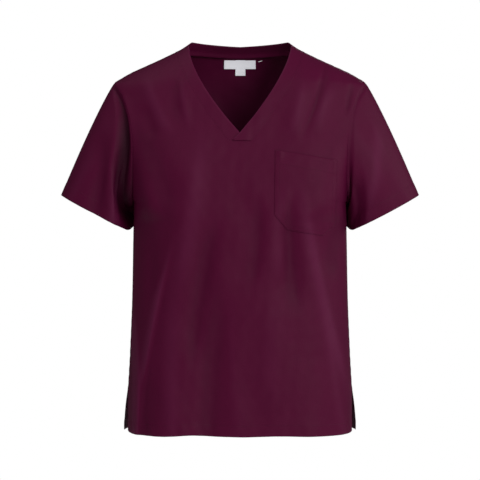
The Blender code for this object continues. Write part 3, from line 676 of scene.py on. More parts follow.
# %% Poplin
CLOUDS_PER_METRE = 26.0  # clouds of dye, about 38 mm wide
CLOUD_TONES, RIB_TONES = (0.86, 1.12), (0.9, 1.1)
# the shares of the bars and of the ribs, and the most painted shade that a trough gets
BAR_SHARE, RIB_SHARE, TROUGH_SHADE_MOST = 0.35, 0.35, 0.45
HOLLOW_ROUGHNESS, THREAD_ROUGHNESS = 0.64, 0.56
RIB_HEIGHT = 0.0001  # in metres


def poplin(name, colour, painted_sheen_colour, trough_shade_colour, shade_colour):
    """Piece-dyed poplin: matt, ribbed, cloudy, painted with sheen on ridges, shade in troughs, darkest in
    shade.

    Cloth sends little light on to cloth, so what lies in a fold or behind another layer looks almost black.
    """
    made, tree, shader = new_material(name)
    here = node(tree, "ShaderNodeTexCoord").outputs["Object"]
    clouds = node(tree, "ShaderNodeTexNoise", Vector=here, Scale=CLOUDS_PER_METRE, Detail=3.0).outputs["Fac"]
    cloudy = layered(tree, clouds, (BAR_SHARE, cloth_noise(tree, BAR_WIDTH, BAR_LENGTH, detail=2.0)))
    threads = weave(tree)
    dark, light = shades(colour, *CLOUD_TONES)
    # painted light and shade on the weave: lighter on the threads, darker in the hollows between them
    hollow, high = shades(colour, *RIB_TONES)
    ribs = layered(tree, hollow, (threads, high))
    # painted light: the crease mark lays a paler sheen on ridges and turned edges and deeper shade in troughs,
    # and the shade mark lays near-black shade where cloth lies behind cloth
    crease, shade = (
        node(tree, "ShaderNodeAttribute", {"attribute_name": mark}).outputs["Fac"]
        for mark in ("crease", "shade")
    )
    painted_sheen, deep = (
        node(tree, "ShaderNodeMapRange", Value=crease, From_Max=full, To_Max=share).outputs["Result"]
        for full, share in ((1.0, 1.0), (-1.0, TROUGH_SHADE_MOST))
    )
    laid_over = zip((painted_sheen, deep, shade), map(linear, (painted_sheen_colour, trough_shade_colour, shade_colour)), strict=True)
    tint = layered(tree, dark, (cloudy, light), (RIB_SHARE, ribs), *laid_over)
    tree.links.new(tint, shader.inputs["Base Color"])
    rough = node(tree, "ShaderNodeMapRange", Value=threads, To_Min=HOLLOW_ROUGHNESS, To_Max=THREAD_ROUGHNESS)
    tree.links.new(rough.outputs["Result"], shader.inputs["Roughness"])
    bump = node(tree, "ShaderNodeBump", Strength=0.3, Distance=RIB_HEIGHT, Height=threads)
    tree.links.new(bump.outputs["Normal"], shader.inputs["Normal"])
    set_sockets(shader, Specular_IOR_Level=0.14)
    return made


print("clouds of dye", round(1000.0 / CLOUDS_PER_METRE), "mm wide")

# %% Thread and satin
TWISTS_PER_METRE = 900.0  # a spun thread turns about once a millimetre


def spun_thread(name, colour, glow=0.0):
    """Spun polyester thread: a soft low gloss, and a twist that shows as paler and darker turns.

    White thread has a faint painted glow, which stands for the brightener that it is dyed with.
    """
    made, tree, shader = new_material(name)
    here = node(tree, "ShaderNodeTexCoord").outputs["Object"]
    twist = node(tree, "ShaderNodeTexNoise", Vector=here, Scale=TWISTS_PER_METRE, Detail=1.0).outputs["Fac"]
    # painted light and shade on the twist's turns: a paler and a darker copy of the thread's colour
    dark, light = shades(colour, 0.8, 1.2)
    tree.links.new(layered(tree, dark, (twist, light)), shader.inputs["Base Color"])
    set_sockets(
        shader, Roughness=0.5, Specular_IOR_Level=0.2, Emission_Color=linear(colour), Emission_Strength=glow
    )
    return made


def satin(name, colour, hollow_colour, glow_colour):
    """Woven polyester satin tape: bright, smooth, its long floats showing as faint lines down the label.

    It has a faint painted glow too, which stands for the same brightener.
    """
    made, tree, shader = new_material(name)
    floats = weave(tree)
    # painted shade: the hollows between the floats are darker
    tint = layered(tree, linear(hollow_colour), (floats, linear(colour)))
    tree.links.new(tint, shader.inputs["Base Color"])
    bump = node(tree, "ShaderNodeBump", Strength=0.2, Distance=RIB_HEIGHT / 2.0, Height=floats)
    tree.links.new(bump.outputs["Normal"], shader.inputs["Normal"])
    set_sockets(shader, Roughness=0.45, Emission_Color=linear(glow_colour), Emission_Strength=0.3)
    return made


# after the cloth's own colour: the painted sheen, the painted shade of troughs and the near-black painted shade
POPLIN = poplin("burgundy_poly_cotton_poplin", "570431", "61163d", "4b032a", "14010a")
THREAD_RED = spun_thread("burgundy_spun_polyester_thread", "550630")
# the white thread has a faint painted glow
THREAD_WHITE = spun_thread("white_spun_polyester_thread", "f2f2f4", 0.4)
# the label has a faint painted glow
LABEL = satin("white_woven_satin", "fdfdfe", "f3f3f6", "f4f5ff")
print("materials:", POPLIN.name, THREAD_RED.name, THREAD_WHITE.name, LABEL.name)

# %% [markdown]
# ## Front and back
#
# Each body panel is one piece of cloth with the neck and both armholes cut out of its top edge.
# Its grid has columns that run from hem to neck or shoulder, and rows that fan up into the armhole, so that
# both outlines are lines of the grid and the seams meet their neighbours point by point.

# %% The panels' grids
VENT_ROWS, SIDE_ROWS, ARMHOLE_ROWS = 26, 104, 80
FOOT_COLUMNS, NECK_COLUMNS, SHOULDER_COLUMNS = 8, 44, 54
NECK_T = np.linspace(0.0, 1.0, NECK_COLUMNS)
BACK_NECK_ANGLE = np.linspace(0.0, np.pi / 2.0, FOOT_COLUMNS + NECK_COLUMNS)


def panel_rows():
    """Shares of a column's height: the vents, the sides, then the armhole by equal angles of its ellipse."""
    rise = SHOULDER_Z - HEM_Z
    vent_share, underarm_share = (VENT_TOP_Z - HEM_Z) / rise, (UNDERARM_Z - HEM_Z) / rise
    angles = np.linspace(0.0, np.pi, ARMHOLE_ROWS + 1)
    return np.concatenate([
        np.linspace(0.0, vent_share, VENT_ROWS + 1)[:-1],
        np.linspace(vent_share, underarm_share, SIDE_ROWS + 1)[:-1],
        (ARMHOLE_MID_Z - ARMHOLE_HALF * np.cos(angles) - HEM_Z) / rise,
    ])


def panel_columns(side):
    """(share of the half width, height of the top edge) of each column."""
    if side < 0:
        neck = bezier(NECK_SEAM, BAND_BEND, BAND_FOOT, NECK_T[::-1])
        share = neck[:, 0] / half_width(neck[:, 1], side)
        share = np.concatenate([np.linspace(0.0, share[0], FOOT_COLUMNS + 1)[:-1], share])
        top = np.concatenate([[BAND_FOOT[1]] * FOOT_COLUMNS, neck[:, 1]])
    else:
        x = NECK_SEAM_X * np.cos(BACK_NECK_ANGLE[::-1])
        share, top = x / SHOULDER_X, neck_table("seam_z", x)
        top[-1] = NECK_SEAM[1]
    outer = np.sin(np.linspace(np.arcsin(share[-1]), np.pi / 2.0, SHOULDER_COLUMNS + 1)[1:])
    share = np.concatenate([share, outer])
    top = np.concatenate([top, ridge(outer * SHOULDER_X)])
    return np.concatenate([-share[:0:-1], share]), np.concatenate([top[:0:-1], top])


HEM_WAVES = table("""
    x half lift
    -86 30 2.3
    -150 26 -0.6
    70 34 1
    8 22 -0.5
""")
HEM_WAVE_REACH = 90.0


def hem_wave(x, side):
    """How much the hem line rises at x: a few soft bells, the other way round at the back."""
    bells = bell((np.asarray(x)[..., None] * -side - HEM_WAVES["x"]) / HEM_WAVES["half"])
    return (HEM_WAVES["lift"] * bells).sum(axis=-1)


def panel(side):
    """Rows from hem to neck, columns from the wearer's right to left: y is the body's depth at (x, z)."""
    share, top = panel_columns(side)
    z = HEM_Z + (top - HEM_Z) * panel_rows()[:, None]
    z = z + hem_wave(share * half_width(HEM_Z, side), side) * (1.0 - smooth((z - HEM_Z) / HEM_WAVE_REACH))
    x = share * half_width(z, side)
    y = side * depth(x, z, side)
    y[-1, np.abs(share) * SHOULDER_X > NECK_SEAM_X - 1e-6] = 0.0
    return np.stack([x, y, z], axis=-1)


FRONT, BACK = panel(-1), panel(1)
print("front grid", FRONT.shape[:2], "back grid", BACK.shape[:2])

# %% [markdown]
# ## Seams and hems
#
# Sewing leaves relief that the eye reads at once: the seam line lies a little deep, the turnings beside it
# stand a little proud, and the thread draws the cloth into small puckers. A hem is three layers, so its step
# shows from outside. All of it is added along the surface's normals, by distance from the borders.

# %% Sewing the panels' borders
WALL = 0.8
HEM_WIDTH, VENT_HEM_WIDTH, SLEEVE_HEM_WIDTH = 19.0, 12.0, 22.0
HEM_WALL, VENT_WALL, SLEEVE_HEM_WALL = 0.8, 0.5, 0.9  # how much thicker the turned layers are
# Across each seam: the depth of its line, and the height of the turnings beside it.
SEAMS = {"side_seams": (0.4, 0.35), "shoulder": (0.5, 0.5), "armholes": (0.35, 0.08), "neck": (0.0, 0.04)}
ARMHOLE_DRAWN_IN = 0.4  # the whole edge, where the sleeve is joined on
STITCH_SINK, STITCH_SPREAD = 0.3, 1.3  # how deep and how far to each side a hem's stitch line is drawn in
# Gathers along each border: their spacing, height and reach in from it, and a seed.
PUCKERS = {
    "hem": (21.0, 0.32, 26.0, 21),
    "side_seams": (17.0, 0.28, 15.0, 31),
    "armholes": (14.0, 0.4, 12.0, 35),
    "neck": (12.0, 0.2, 10.0, 41),
    "shoulder": (15.0, 0.3, 11.0, 45),
    "neckband": (13.0, 0.2, 12.0, 51),
    "sleeve_hem": (19.0, 0.3, 22.0, 61),
}
TURNING_WIDTH, LINE_WIDTH, SEAM_SOFT = 7.0, 1.2, 1.5


def seam_relief(away, groove, turning):
    """Across a seam: a groove in the line itself and the raised turnings beside it."""
    return turning * band_of(away, 0.6, TURNING_WIDTH) - groove * bell(away / LINE_WIDTH)


def hem_relief(away, width, step=0.4):
    """Across a hem: the turned layers stand proud as far as their stitch line, which is drawn in."""
    return step * (1.0 - smooth((away - width) / 3.0)) - STITCH_SINK * bell((away - width) / STITCH_SPREAD)


def hem_wall(away, width, more):
    """The cloth's wall, thicker by the turned layers as far as the hem reaches."""
    return WALL + more * (1.0 - smooth((away - width) / 2.0))


def sewn_panel(grid, side):
    """The panel with seams, hems and puckers, its wall, its free borders, and distances from its edges."""
    armhole_row = VENT_ROWS + SIDE_ROWS
    borders = {
        "vents": (grid[: VENT_ROWS + 1, 0], grid[: VENT_ROWS + 1, -1]),
        "side_seams": (grid[VENT_ROWS : armhole_row + 1, 0], grid[VENT_ROWS : armhole_row + 1, -1]),
        "armholes": (grid[armhole_row:, 0], grid[armhole_row:, -1]),
        "shoulder": (grid[-1, : SHOULDER_COLUMNS + 1], grid[-1, -SHOULDER_COLUMNS - 1 :]),
        "hem": (grid[0],),
        "neck": (grid[-1, SHOULDER_COLUMNS:-SHOULDER_COLUMNS],),
    }
    away = {
        name: np.minimum.reduce([away_from(grid, line) for line in lines]) for name, lines in borders.items()
    }
    along, across = lengths(grid, 0), lengths(grid, 1)
    relief = hem_relief(away["hem"], HEM_WIDTH) + hem_relief(away["vents"], VENT_HEM_WIDTH, 0.3)
    for name, (groove, turning) in SEAMS.items():
        relief = relief + seam_relief(away[name], groove, turning)
    for name, (*size, seed) in PUCKERS.items():
        if name in away:
            line = along if name in ("side_seams", "armholes") else across
            relief = relief + puckers(line, away[name], *size, seed + side)
    drawn_in = ARMHOLE_DRAWN_IN * (1.0 - smooth(away["armholes"] / SEAM_SOFT))
    nearest = np.minimum.reduce([away[name] for name in SEAMS])
    relief = relief * smooth(nearest / SEAM_SOFT) - drawn_in * smooth(away["shoulder"] / 6.0)
    moved = grid + grid_normals(grid) * relief[..., None]
    wall = hem_wall(away["hem"], HEM_WIDTH, HEM_WALL)
    wall = np.maximum(wall, hem_wall(away["vents"], VENT_HEM_WIDTH, VENT_WALL))
    vents = (grid[:, 0, 2] < VENT_TOP_Z).astype(float)
    return moved, wall, {"foot": np.ones(grid.shape[1]), "first": vents, "last": vents}, away


EDGE_SHEEN, EDGE_SHEEN_REACH = 0.4, 1.6  # turned edges are painted paler over a millimetre or two, as a sheen where the fold catches light
VENT_SHADE, VENT_SHADE_TOP, VENT_SHADE_REACH = 0.9, 4.0, 60.0  # the back's inside, where the vents show it


# a painted sheen along a turned edge, in the same paler colour as a ridge
def edge_sheen(away):
    return EDGE_SHEEN * bell(away / EDGE_SHEEN_REACH)


grids, pieces = {}, {}  # by the name of the solid that each one replaces
for name, grid, folds, side in (("front_panel", FRONT, FRONT_FOLDS, -1), ("back_panel", BACK, BACK_FOLDS, 1)):
    grids[name], wall, free, away = sewn_panel(grid, side)
    z = grid[..., 2]
    # painted light on the panels: sheen along ridges and the hem's edge, shade along troughs
    marks = {"crease": crease_sheen_and_shade(folds, grid[..., 0], z) + edge_sheen(away["hem"])}
    if side > 0:
        vent_shade = VENT_SHADE * (1.0 - smooth((z - VENT_TOP_Z + VENT_SHADE_TOP) / (2.0 * VENT_SHADE_TOP)))
        marks["shade"] = (0.0, vent_shade * (1.0 - smooth(away["vents"] / VENT_SHADE_REACH)))
    pieces[name] = shell(f"{name}_cloth", grids[name], wall, POPLIN, free=free, marks=marks)
print("hem round the body:", round(2 * float(lengths(grids["front_panel"], 1)[0, -1])), "mm")

# %% [markdown]
# ## Neckband
#
# The neckband is a folded strip, seamed on round the neck. Its front arms run down to the point of the V,
# where the wearer's left arm laps over the other and is sewn down square. It could be painted on to the panels,
# but a strip of its own has the thickness and the folded edge that catch the light.


# %% Neckband grids
BAND_ACROSS = np.linspace(0.0, 1.0, 15)
BAND_WALL = 1.5
BAND_PROUD, BAND_CLEARANCE = 0.12, 0.4  # off the panel beside the seam, and off the arm that it laps over
BAND_FOLD_SHEEN = 1.6  # the fold of the neckband gets the most painted sheen
# Inside the back neck, the turnings stand off above the seam in a soft roll.
ROLL, ROLL_OFF, ROLL_ABOVE, ROLL_BELOW = 4.2, 4.0, 5.5, 2.5


def front_band(side):
    """One arm of the V: rows run from shoulder to square foot, columns from the V edge to the seam."""
    t = NECK_T
    outer = bezier(NECK_SEAM, BAND_BEND, BAND_FOOT, t)
    bend = V_BEND["left" if side > 0 else "right"]
    inner = bezier((NECK_X, float(ridge(NECK_X))), bend, (0.0, V_TIP_Z), np.clip(t / LAP_FULL, 0.0, 1.0))
    past = np.clip((t - LAP_FULL) / (1.0 - LAP_FULL), 0.0, 1.0)[:, None]
    inner = lerp(inner, np.array([-LAP_X, BAND_FOOT[1]]), past)
    x = lerp(inner[:, :1], outer[:, :1], BAND_ACROSS)
    crown = ridge(x) - lerp(ridge(inner[:, :1]), ridge(outer[:, :1]), BAND_ACROSS)
    z = lerp(inner[:, 1:], outer[:, 1:], BAND_ACROSS) + crown * (1.0 - t)[:, None]
    x = side * x
    y = -depth(x, z, -1)
    y[0] = 0.0
    return np.stack([x, y, z], axis=-1)


def back_band():
    """Rows run round the back from the right shoulder to the left, columns from the neck edge down."""
    quarter = BACK_NECK_ANGLE
    angle = np.concatenate([np.pi - quarter, quarter[-2::-1]])[:, None]
    share = np.abs(np.cos(angle)) * NECK_SEAM_X
    seam_x = lerp(NECK_X, NECK_SEAM_X, BAND_ACROSS)
    x = seam_x * np.cos(angle)
    crown = ridge(seam_x) - lerp(ridge(NECK_X), NECK_SEAM[1], BAND_ACROSS)
    z = lerp(neck_table("edge_z", share), neck_table("seam_z", share), BAND_ACROSS) + crown
    y = lerp(BACK_NECK_DEPTH * np.sin(angle), depth(x[:, -1:], z[:, -1:], 1), BAND_ACROSS)
    y[[0, -1]] = 0.0
    z[[0, -1]] = ridge(seam_x)
    return np.stack([x, y, z], axis=-1)


def sewn_band(grid, lift):
    """The band stands a little proud of the panel beside its seam, and is rounded at its fold."""
    seam, fold = away_from(grid, grid[:, -1]), away_from(grid, grid[:, 0])
    proud = BAND_PROUD * smooth(seam / 2.5) * smooth(fold / 2.0)
    relief = proud + puckers(lengths(grid, 0), seam, *PUCKERS["neckband"]) * smooth(seam / 2.0) + lift
    return grid + grid_normals(grid) * relief[..., None]


left_band, right_band, rear_band = front_band(1.0), front_band(-1.0), back_band()
climb = smooth((NECK_T - LAP_FROM) / (LAP_FULL - LAP_FROM))[:, None] * (BAND_WALL + BAND_CLEARANCE)
climb = climb * smooth((BAND_FOOT[0] - left_band[..., 0]) / (BAND_FOOT[0] - LAP_X))  # only over the other arm
above_seam = away_from(rear_band, rear_band[:, -1]) - ROLL_OFF
rear_wall = BAND_WALL + ROLL * bell(above_seam / np.where(above_seam > 0.0, ROLL_ABOVE, ROLL_BELOW))
for name, band, lift, wall in (
    ("neckband_front_left", left_band, climb, BAND_WALL),
    ("neckband_front_right", right_band, 0.0, BAND_WALL),
    ("neckband_back", rear_band, 0.0, rear_wall),
):
    grids[name] = sewn_band(band, lift)
    # painted sheen along the band's folded edge
    marks = {"crease": BAND_FOLD_SHEEN * edge_sheen(away_from(band, band[:, 0]))}
    free = {"first": np.ones(len(band))}
    pieces[name] = shell(f"{name}_cloth", grids[name], wall, POPLIN, free=free, marks=marks)
print("neck edge", round(2 * float(lengths(left_band, 0)[-1, 0]) + float(lengths(rear_band, 0)[-1, 0])), "mm")

# %% [markdown]
# ## Sleeves
#
# A set-in sleeve is a short tube. It starts on the very points of the armhole and ends on a slanting opening.
# A plain tube pushed into the body would cut through it, while rings shared out between the armhole and the
# opening meet the body exactly at the seam.


# %% The sleeve's opening and tucks
SLEEVE_RINGS = 78
SLEEVE_FOLD_START = 0.2
SLEEVE_PROUD = 0.12
MM_PER_DEGREE = 1.6  # round the sleeve's hem
TUCK_SHADE, TUCK_SHADE_DEPTH = 0.7, 14.0  # cloth deep in the tuck sees little light
SLEEVE_CROWN_PLACE = 0.58  # below 1, the sleeve's top line is fullest near the shoulder


def sleeve_hem(angle):
    """The opening, by angle from its outer tip: an ellipse that leans back where it comes near the body."""
    c, s = np.cos(angle), np.sin(angle)
    mid_x, mid_y = SLEEVE_MID
    inner = np.clip(-c, 0.0, 1.0)
    x = mid_x + np.where(c > 0.0, SLEEVE_TIP[0] - mid_x, SLEEVE_INNER_REACH) * c
    y = mid_y - SLEEVE_HALF_DEPTH * s + SLEEVE_INNER_BACK * inner**3
    starts, full, lessens, gone = SLEEVE_LIFT_DEGREES
    degrees = np.degrees(angle)
    rising = smooth((degrees - starts) / (full - starts))
    falling = smooth((degrees - lessens) / (gone - lessens))
    share = np.clip((SLEEVE_TIP[0] - x) / (SLEEVE_TIP[0] - mid_x + SLEEVE_INNER_REACH), 0.0, 1.0)
    bow = SLEEVE_HEM_BOW * np.sin(np.pi * share)
    z = SLEEVE_TIP[1] - SLEEVE_HEM_SLOPE * (SLEEVE_TIP[0] - x) - bow + SLEEVE_LIFT * rising * (1.0 - falling)
    return np.stack([x, y, z], axis=-1)


# A tuck is a trough just outside the armhole seam. By degrees round it: how far from the seam its floor
# starts, how wide the floor is, over what length it rises again, and its depth.
TUCKS = {
    "sleeve_right": table("""
        degrees off floor rise deep
        0 3 0 5 0
        22 3 0 7 2
        42 6 2 13 6
        70 9 3 28 12
        100 12 4 38 17
        135 13 5 38 16
        168 10 6 20 7
        185 8 4 14 0.3
        210 8 2 14 0.3
        240 9 2 14 5
        280 8 2 12 6
        330 4 0 6 1.5
        360 3 0 5 0
    """),
    "sleeve_left": table("""
        degrees off floor rise deep
        0 2.5 0 5 0
        25 2.5 0 5 0.9
        60 3 0 7 1.6
        90 3.5 1 9 1.8
        115 3.5 1.5 8 3.4
        140 4.5 2 9 5
        165 5 2 10 3.5
        185 5 2 10 0.3
        210 6 2 10 0.3
        240 8 1 12 5
        285 6 0 9 5
        335 3 0 5 1.2
        360 3 0 5 0
    """),
}


def tuck_relief(tuck, degrees, away):
    """Down from the seam, along a floor and up again. Place, width and depth change round the armhole."""
    places, *columns = tuck.values()
    off, floor, rise, deep = (through(places, column, degrees) for column in columns)
    return -deep * smooth(away / off) * (1.0 - smooth((away - off - floor) / rise))


print("deepest tuck:", max(tuck["deep"].max() for tuck in TUCKS.values()), "mm")


# %% Sleeves
def armhole(front, back, column):
    """From the shoulder down the armhole's front edge and up its back edge."""
    return np.concatenate([front[: -ARMHOLE_ROWS - 2 : -1, column], back[-ARMHOLE_ROWS:-1, column]])


def sleeve(name, side):
    """Straight lines from armhole to hem, with a bow along the top and the sleeve's folds."""
    start = armhole(grids["front_panel"], grids["back_panel"], -1 if side > 0 else 0) * (side, 1.0, 1.0)
    angle = 2.0 * np.pi * np.arange(len(start)) / len(start)
    degrees = np.degrees(angle)[None, :]
    u = np.linspace(0.0, 1.0, SLEEVE_RINGS)[:, None]
    grid = lerp(start, sleeve_hem(angle), u[..., None])
    outward = unit(grid - grid.mean(axis=1, keepdims=True))
    bow = SLEEVE_CROWN * np.sin(np.pi * u**SLEEVE_CROWN_PLACE) * (1.0 + np.cos(angle)) / 2.0
    relief = fold_relief(SLEEVE_FOLDS[name], degrees, u * 100.0)
    away = 1.0 - np.clip(-np.cos(angle), 0.0, 1.0) ** 4
    grid = grid + outward * (bow + relief * smooth(u / SLEEVE_FOLD_START) * away)[..., None]
    grid = grid * (side, 1.0, 1.0)
    seam = lengths(grid, 0)
    hem = seam[-1] - seam
    tuck = tuck_relief(TUCKS[name], degrees, away_from(grid, grid[0]))
    relief = hem_relief(hem, SLEEVE_HEM_WIDTH) + tuck + SLEEVE_PROUD * band_of(seam, 3.0, 8.0)
    relief = relief + puckers(degrees[0] * MM_PER_DEGREE, hem, *PUCKERS["sleeve_hem"])
    grid = grid + grid_normals(grid, True) * (relief * smooth(seam / 2.0))[..., None]
    wall = hem_wall(hem, SLEEVE_HEM_WIDTH, SLEEVE_HEM_WALL)
    # painted light on the sleeve: sheen along its ridges and shade along its troughs
    tint = crease_sheen_and_shade(SLEEVE_FOLDS[name], degrees, u * 100.0)
    return grid, wall, {"crease": tint, "shade": TUCK_SHADE * smooth(-tuck / TUCK_SHADE_DEPTH)}


for name, side in (("sleeve_left", 1.0), ("sleeve_right", -1.0)):
    grids[name], wall, marks = sleeve(name, side)
    free = {"top": np.ones(grids[name].shape[1])}
    pieces[name] = shell(f"{name}_cloth", grids[name], wall, POPLIN, True, free, marks)
print("sleeve length on top:", round(float(lengths(grids["sleeve_left"], 0)[-1, 0])), "mm")

# %% [markdown]
# ## Patch pocket
#
# The chest pocket is one more layer of the same cloth, folded in at its edges and topstitched to the front.
# It follows the front's own surface and stands off it a little, most at the corners of its mouth. A flat
# patch would sink into the folds of the chest, so the pocket is worked out on the same folds.

# %% Pocket
POCKET_GRID = 72
POCKET_WALL, POCKET_LIFT, MOUTH_GAPE, MOUTH_REACH, MOUTH_HEM = 0.9, 1.1, 0.5, 30.0, 24.0
TURNED_RISE, TURNED_WIDTH = 0.3, 7.0  # the middle stands off a little more than the sewn edge
EDGE_LINE, EDGE_SINK, EDGE_SPREAD = 2.0, 0.2, 0.9  # the first stitch line draws the edge in
HEM_RISE = 0.2


def pocket_places(down, across):
    """(x, z) on the front at a distance down and across the pocket's own rectangle."""
    x = POCKET_LEFT_X + across - POCKET_LEAN * down / POCKET_HEIGHT
    return x, POCKET_TOP_Z - POCKET_DROOP * across / POCKET_WIDTH - down


def on_body(x, z, side, lift):
    """Points that stand off the body's own surface at (x, z), along its normals."""
    grid = np.stack([x, side * depth(x, z, side), z], axis=-1)
    return grid + grid_normals(grid) * np.reshape(lift, np.shape(lift) + (1,) * (3 - np.ndim(lift)))


across = np.linspace(0.0, 1.0, POCKET_GRID) * POCKET_WIDTH
cut = np.maximum(0.0, POCKET_CORNER - np.minimum(across, POCKET_WIDTH - across))
down = np.linspace(0.0, 1.0, POCKET_GRID)[:, None] * (POCKET_HEIGHT - cut)
across = across + 0.0 * down
pocket_x, pocket_z = pocket_places(down, across)
beside = np.minimum(np.minimum(across, POCKET_WIDTH - across), (POCKET_HEIGHT - cut) - down)
gape = MOUTH_GAPE * np.sin(np.pi * across / POCKET_WIDTH) ** 0.7 * bell(down / MOUTH_REACH)
# the mouth's corners pull up: distance in from the side, place, half width, height, and reach down
for inward, place, half, height, reach in (
    (across, 9.0, 4.5, 1.6, 13.0),
    (POCKET_WIDTH - across, 8.0, 4.0, 1.1, 14.0),
):
    gape = gape + height * np.exp(-(((inward - place) / half) ** 2) - ((down / reach) ** 2))
pocket_lift = POCKET_LIFT + gape + TURNED_RISE * smooth(beside / TURNED_WIDTH)
pocket_lift = pocket_lift - EDGE_SINK * bell((beside - EDGE_LINE) / EDGE_SPREAD)
pocket_lift = pocket_lift + HEM_RISE * (1.0 - smooth((down - MOUTH_HEM) / 3.0))
pocket_grid = grids["chest_pocket"] = on_body(pocket_x, pocket_z, -1, pocket_lift)
pieces["chest_pocket"] = shell(
    "chest_pocket_cloth", pocket_grid, POCKET_WALL, POPLIN,
    free={name: np.ones(POCKET_GRID) for name in ("foot", "top", "first", "last")},
    # painted light on the pocket: the sheen and shade of the front's folds
    marks={"crease": crease_sheen_and_shade(FRONT_FOLDS, pocket_x, pocket_z)},
)
print("pocket", round(float(lengths(pocket_grid, 1)[0, -1])), "mm wide along the cloth")

# %% [markdown]
# ## Labels
#
# Two small white labels are caught in the neck seam and hang inside the back. They are left without words.
# Each is a rectangle that takes its curve from the back, as soft tape does when it lies on cloth.

# %% Labels
LABEL_WALL, LABEL_ROWS, LABEL_COLUMNS = 0.5, 25, 41
TAB_OFF, LABEL_OFF = 1.4, 2.3  # clear of the back, the label over the tab
LABEL_FREE = {"foot": np.ones(LABEL_COLUMNS), "first": np.ones(LABEL_ROWS), "last": np.ones(LABEL_ROWS)}
for name, width, mid_x, foot_z, lift in (
    ("size_tab", TAB_WIDTH, TAB_MID_X, TAB_FOOT_Z, WALL + TAB_OFF),
    ("neck_label", LABEL_WIDTH, LABEL_MID_X, LABEL_FOOT_Z, WALL + LABEL_OFF),
):
    # a small rectangle that follows the inside of the back, a lift away from it
    x = mid_x + np.linspace(-0.5, 0.5, LABEL_COLUMNS) * width + np.zeros((LABEL_ROWS, 1))
    z = np.linspace(foot_z, LABEL_TOP_Z, LABEL_ROWS)[:, None] + 0.0 * x
    grids[name] = on_body(x, z, 1, -lift)
    pieces[name] = shell(f"{name}_satin", grids[name], LABEL_WALL, LABEL, free=LABEL_FREE)
    print(pieces[name].name, width, "mm wide")

# %% [markdown]
# ## Stitching
#
# A lockstitch lies on the cloth for two or three millimetres, dives through it and comes up again. Each
# stitch is a small closed bead with its ends sunk in the cloth, and all of the stitches on one piece are one
# mesh, worked out in one go. Modelled thread catches the light along its length, which a bump cannot do.

# %% Stitch lines
STITCH_PITCH, STITCH_LENGTH, STITCH_THICK = 3.0, 2.3, 0.45
# Along a bead: place, thickness and height, as shares of half its length and half its thickness.
BEAD_ALONG = np.array([-1.0, -0.7, 0.0, 0.7, 1.0])
BEAD_ROUND = np.array([0.12, 0.8, 1.0, 0.8, 0.12])
BEAD_HEIGHT = np.array([-0.5, 0.3, 0.6, 0.3, -0.5])
BEAD_SIDES = 6
MOUTH_MARGIN = 2.0  # the pocket's rows of stitches start just below its mouth
NEAR = 40  # grid lines from a border within which a stitch line is looked for


def from_border(grid, border):
    """The grid turned so that its first row is the named border."""
    turned = grid.swapaxes(0, 1) if border in ("first", "last") else grid
    return turned[::-1] if border in ("last", "top") else turned


def line_in(grid, border, distance, stretch=np.s_[:], closed=False):
    """Points and normals along a line that runs a distance in from a border.

    On each grid line that leaves the border, the place is found between the last point that is nearer to the
    border than the distance and the next one.
    """
    lines = from_border(grid, border)[:NEAR, stretch]
    normals = from_border(grid_normals(grid, closed), border)[:NEAR, stretch]
    away = away_from(lines, lines[0])
    each = np.arange(away.shape[1])
    after = np.clip((away < distance).sum(axis=0), 1, len(away) - 1)
    before = after - 1
    share = (distance - away[before, each]) / np.maximum(away[after, each] - away[before, each], 1e-9)
    share = np.clip(share, 0.0, 1.0)[:, None]
    points = lerp(lines[before, each], lines[after, each], share)
    normals = lerp(normals[before, each], normals[after, each], share)
    if closed:
        points, normals = np.append(points, points[:1], axis=0), np.append(normals, normals[:1], axis=0)
    return points, unit(normals)


def on_grid(grid, row, column):
    """Points and normals at fractional rows and columns of a grid, by sharing between its four neighbours."""
    normals = grid_normals(grid)
    r = np.clip(row.astype(int), 0, grid.shape[0] - 2)
    c = np.clip(column.astype(int), 0, grid.shape[1] - 2)
    u, v = (row - r)[:, None], (column - c)[:, None]
    found = [
        lerp(lerp(g[r, c], g[r, c + 1], v), lerp(g[r + 1, c], g[r + 1, c + 1], v), u) for g in (grid, normals)
    ]
    return found[0], unit(found[1])


print("the front's hem line has", len(line_in(grids["front_panel"], "foot", HEM_WIDTH)[0]), "points")


# %% Beads of thread
def bead_faces():
    """One bead's faces: its rings, and two quads that close each end."""
    index = np.arange(len(BEAD_ALONG) * BEAD_SIDES).reshape(-1, BEAD_SIDES)
    first, last = index[0], index[-1]
    caps = [first[[3, 2, 1, 0]], first[[5, 4, 3, 0]], last[[0, 1, 2, 3]], last[[0, 3, 4, 5]]]
    return np.concatenate([quads(np.concatenate([index, index[:, :1]], axis=1))[:, ::-1], caps])


def stitches(name, runs, material, pitch=STITCH_PITCH, long=STITCH_LENGTH, thick=STITCH_THICK):
    """Beads at an even pitch along runs of (points, normals), joined into one mesh."""
    places, aheads, ups = [], [], []
    for points, normals in runs:
        run = lengths(points, 0)
        at = np.arange(pitch / 2.0, max(run[-1], 0.6 * pitch), pitch)
        start, end, up = (
            np.stack([np.interp(place, run, line) for line in lines.T], axis=-1)
            for place, lines in ((at - long / 2.0, points), (at + long / 2.0, points), (at, normals))
        )
        places.append((start + end) / 2.0)
        aheads.append(unit(end - start))
        ups.append(unit(up))
    place, ahead, up = (np.concatenate(part)[:, None, None] for part in (places, aheads, ups))
    sideways = np.cross(up, ahead)
    angle = np.linspace(0.0, 2.0 * np.pi, BEAD_SIDES + 1)[:-1, None]
    out = sideways * np.cos(angle) + up * np.sin(angle)
    along, wide, high = (v[:, None, None] for v in (BEAD_ALONG, BEAD_ROUND, BEAD_HEIGHT))
    points = place + ahead * along * long / 2.0 + (out * wide + up * high) * thick / 2.0
    normals = (out + 0.0 * points).reshape(-1, 3)
    points = points.reshape(-1, 3)
    one = bead_faces()
    faces = (one + np.arange(len(place))[:, None, None] * (len(BEAD_ALONG) * BEAD_SIDES)).reshape(-1, 4)
    if not faces_outward(points, faces, normals):
        faces = faces[:, ::-1]
    return mesh_object(name, points, faces, material)


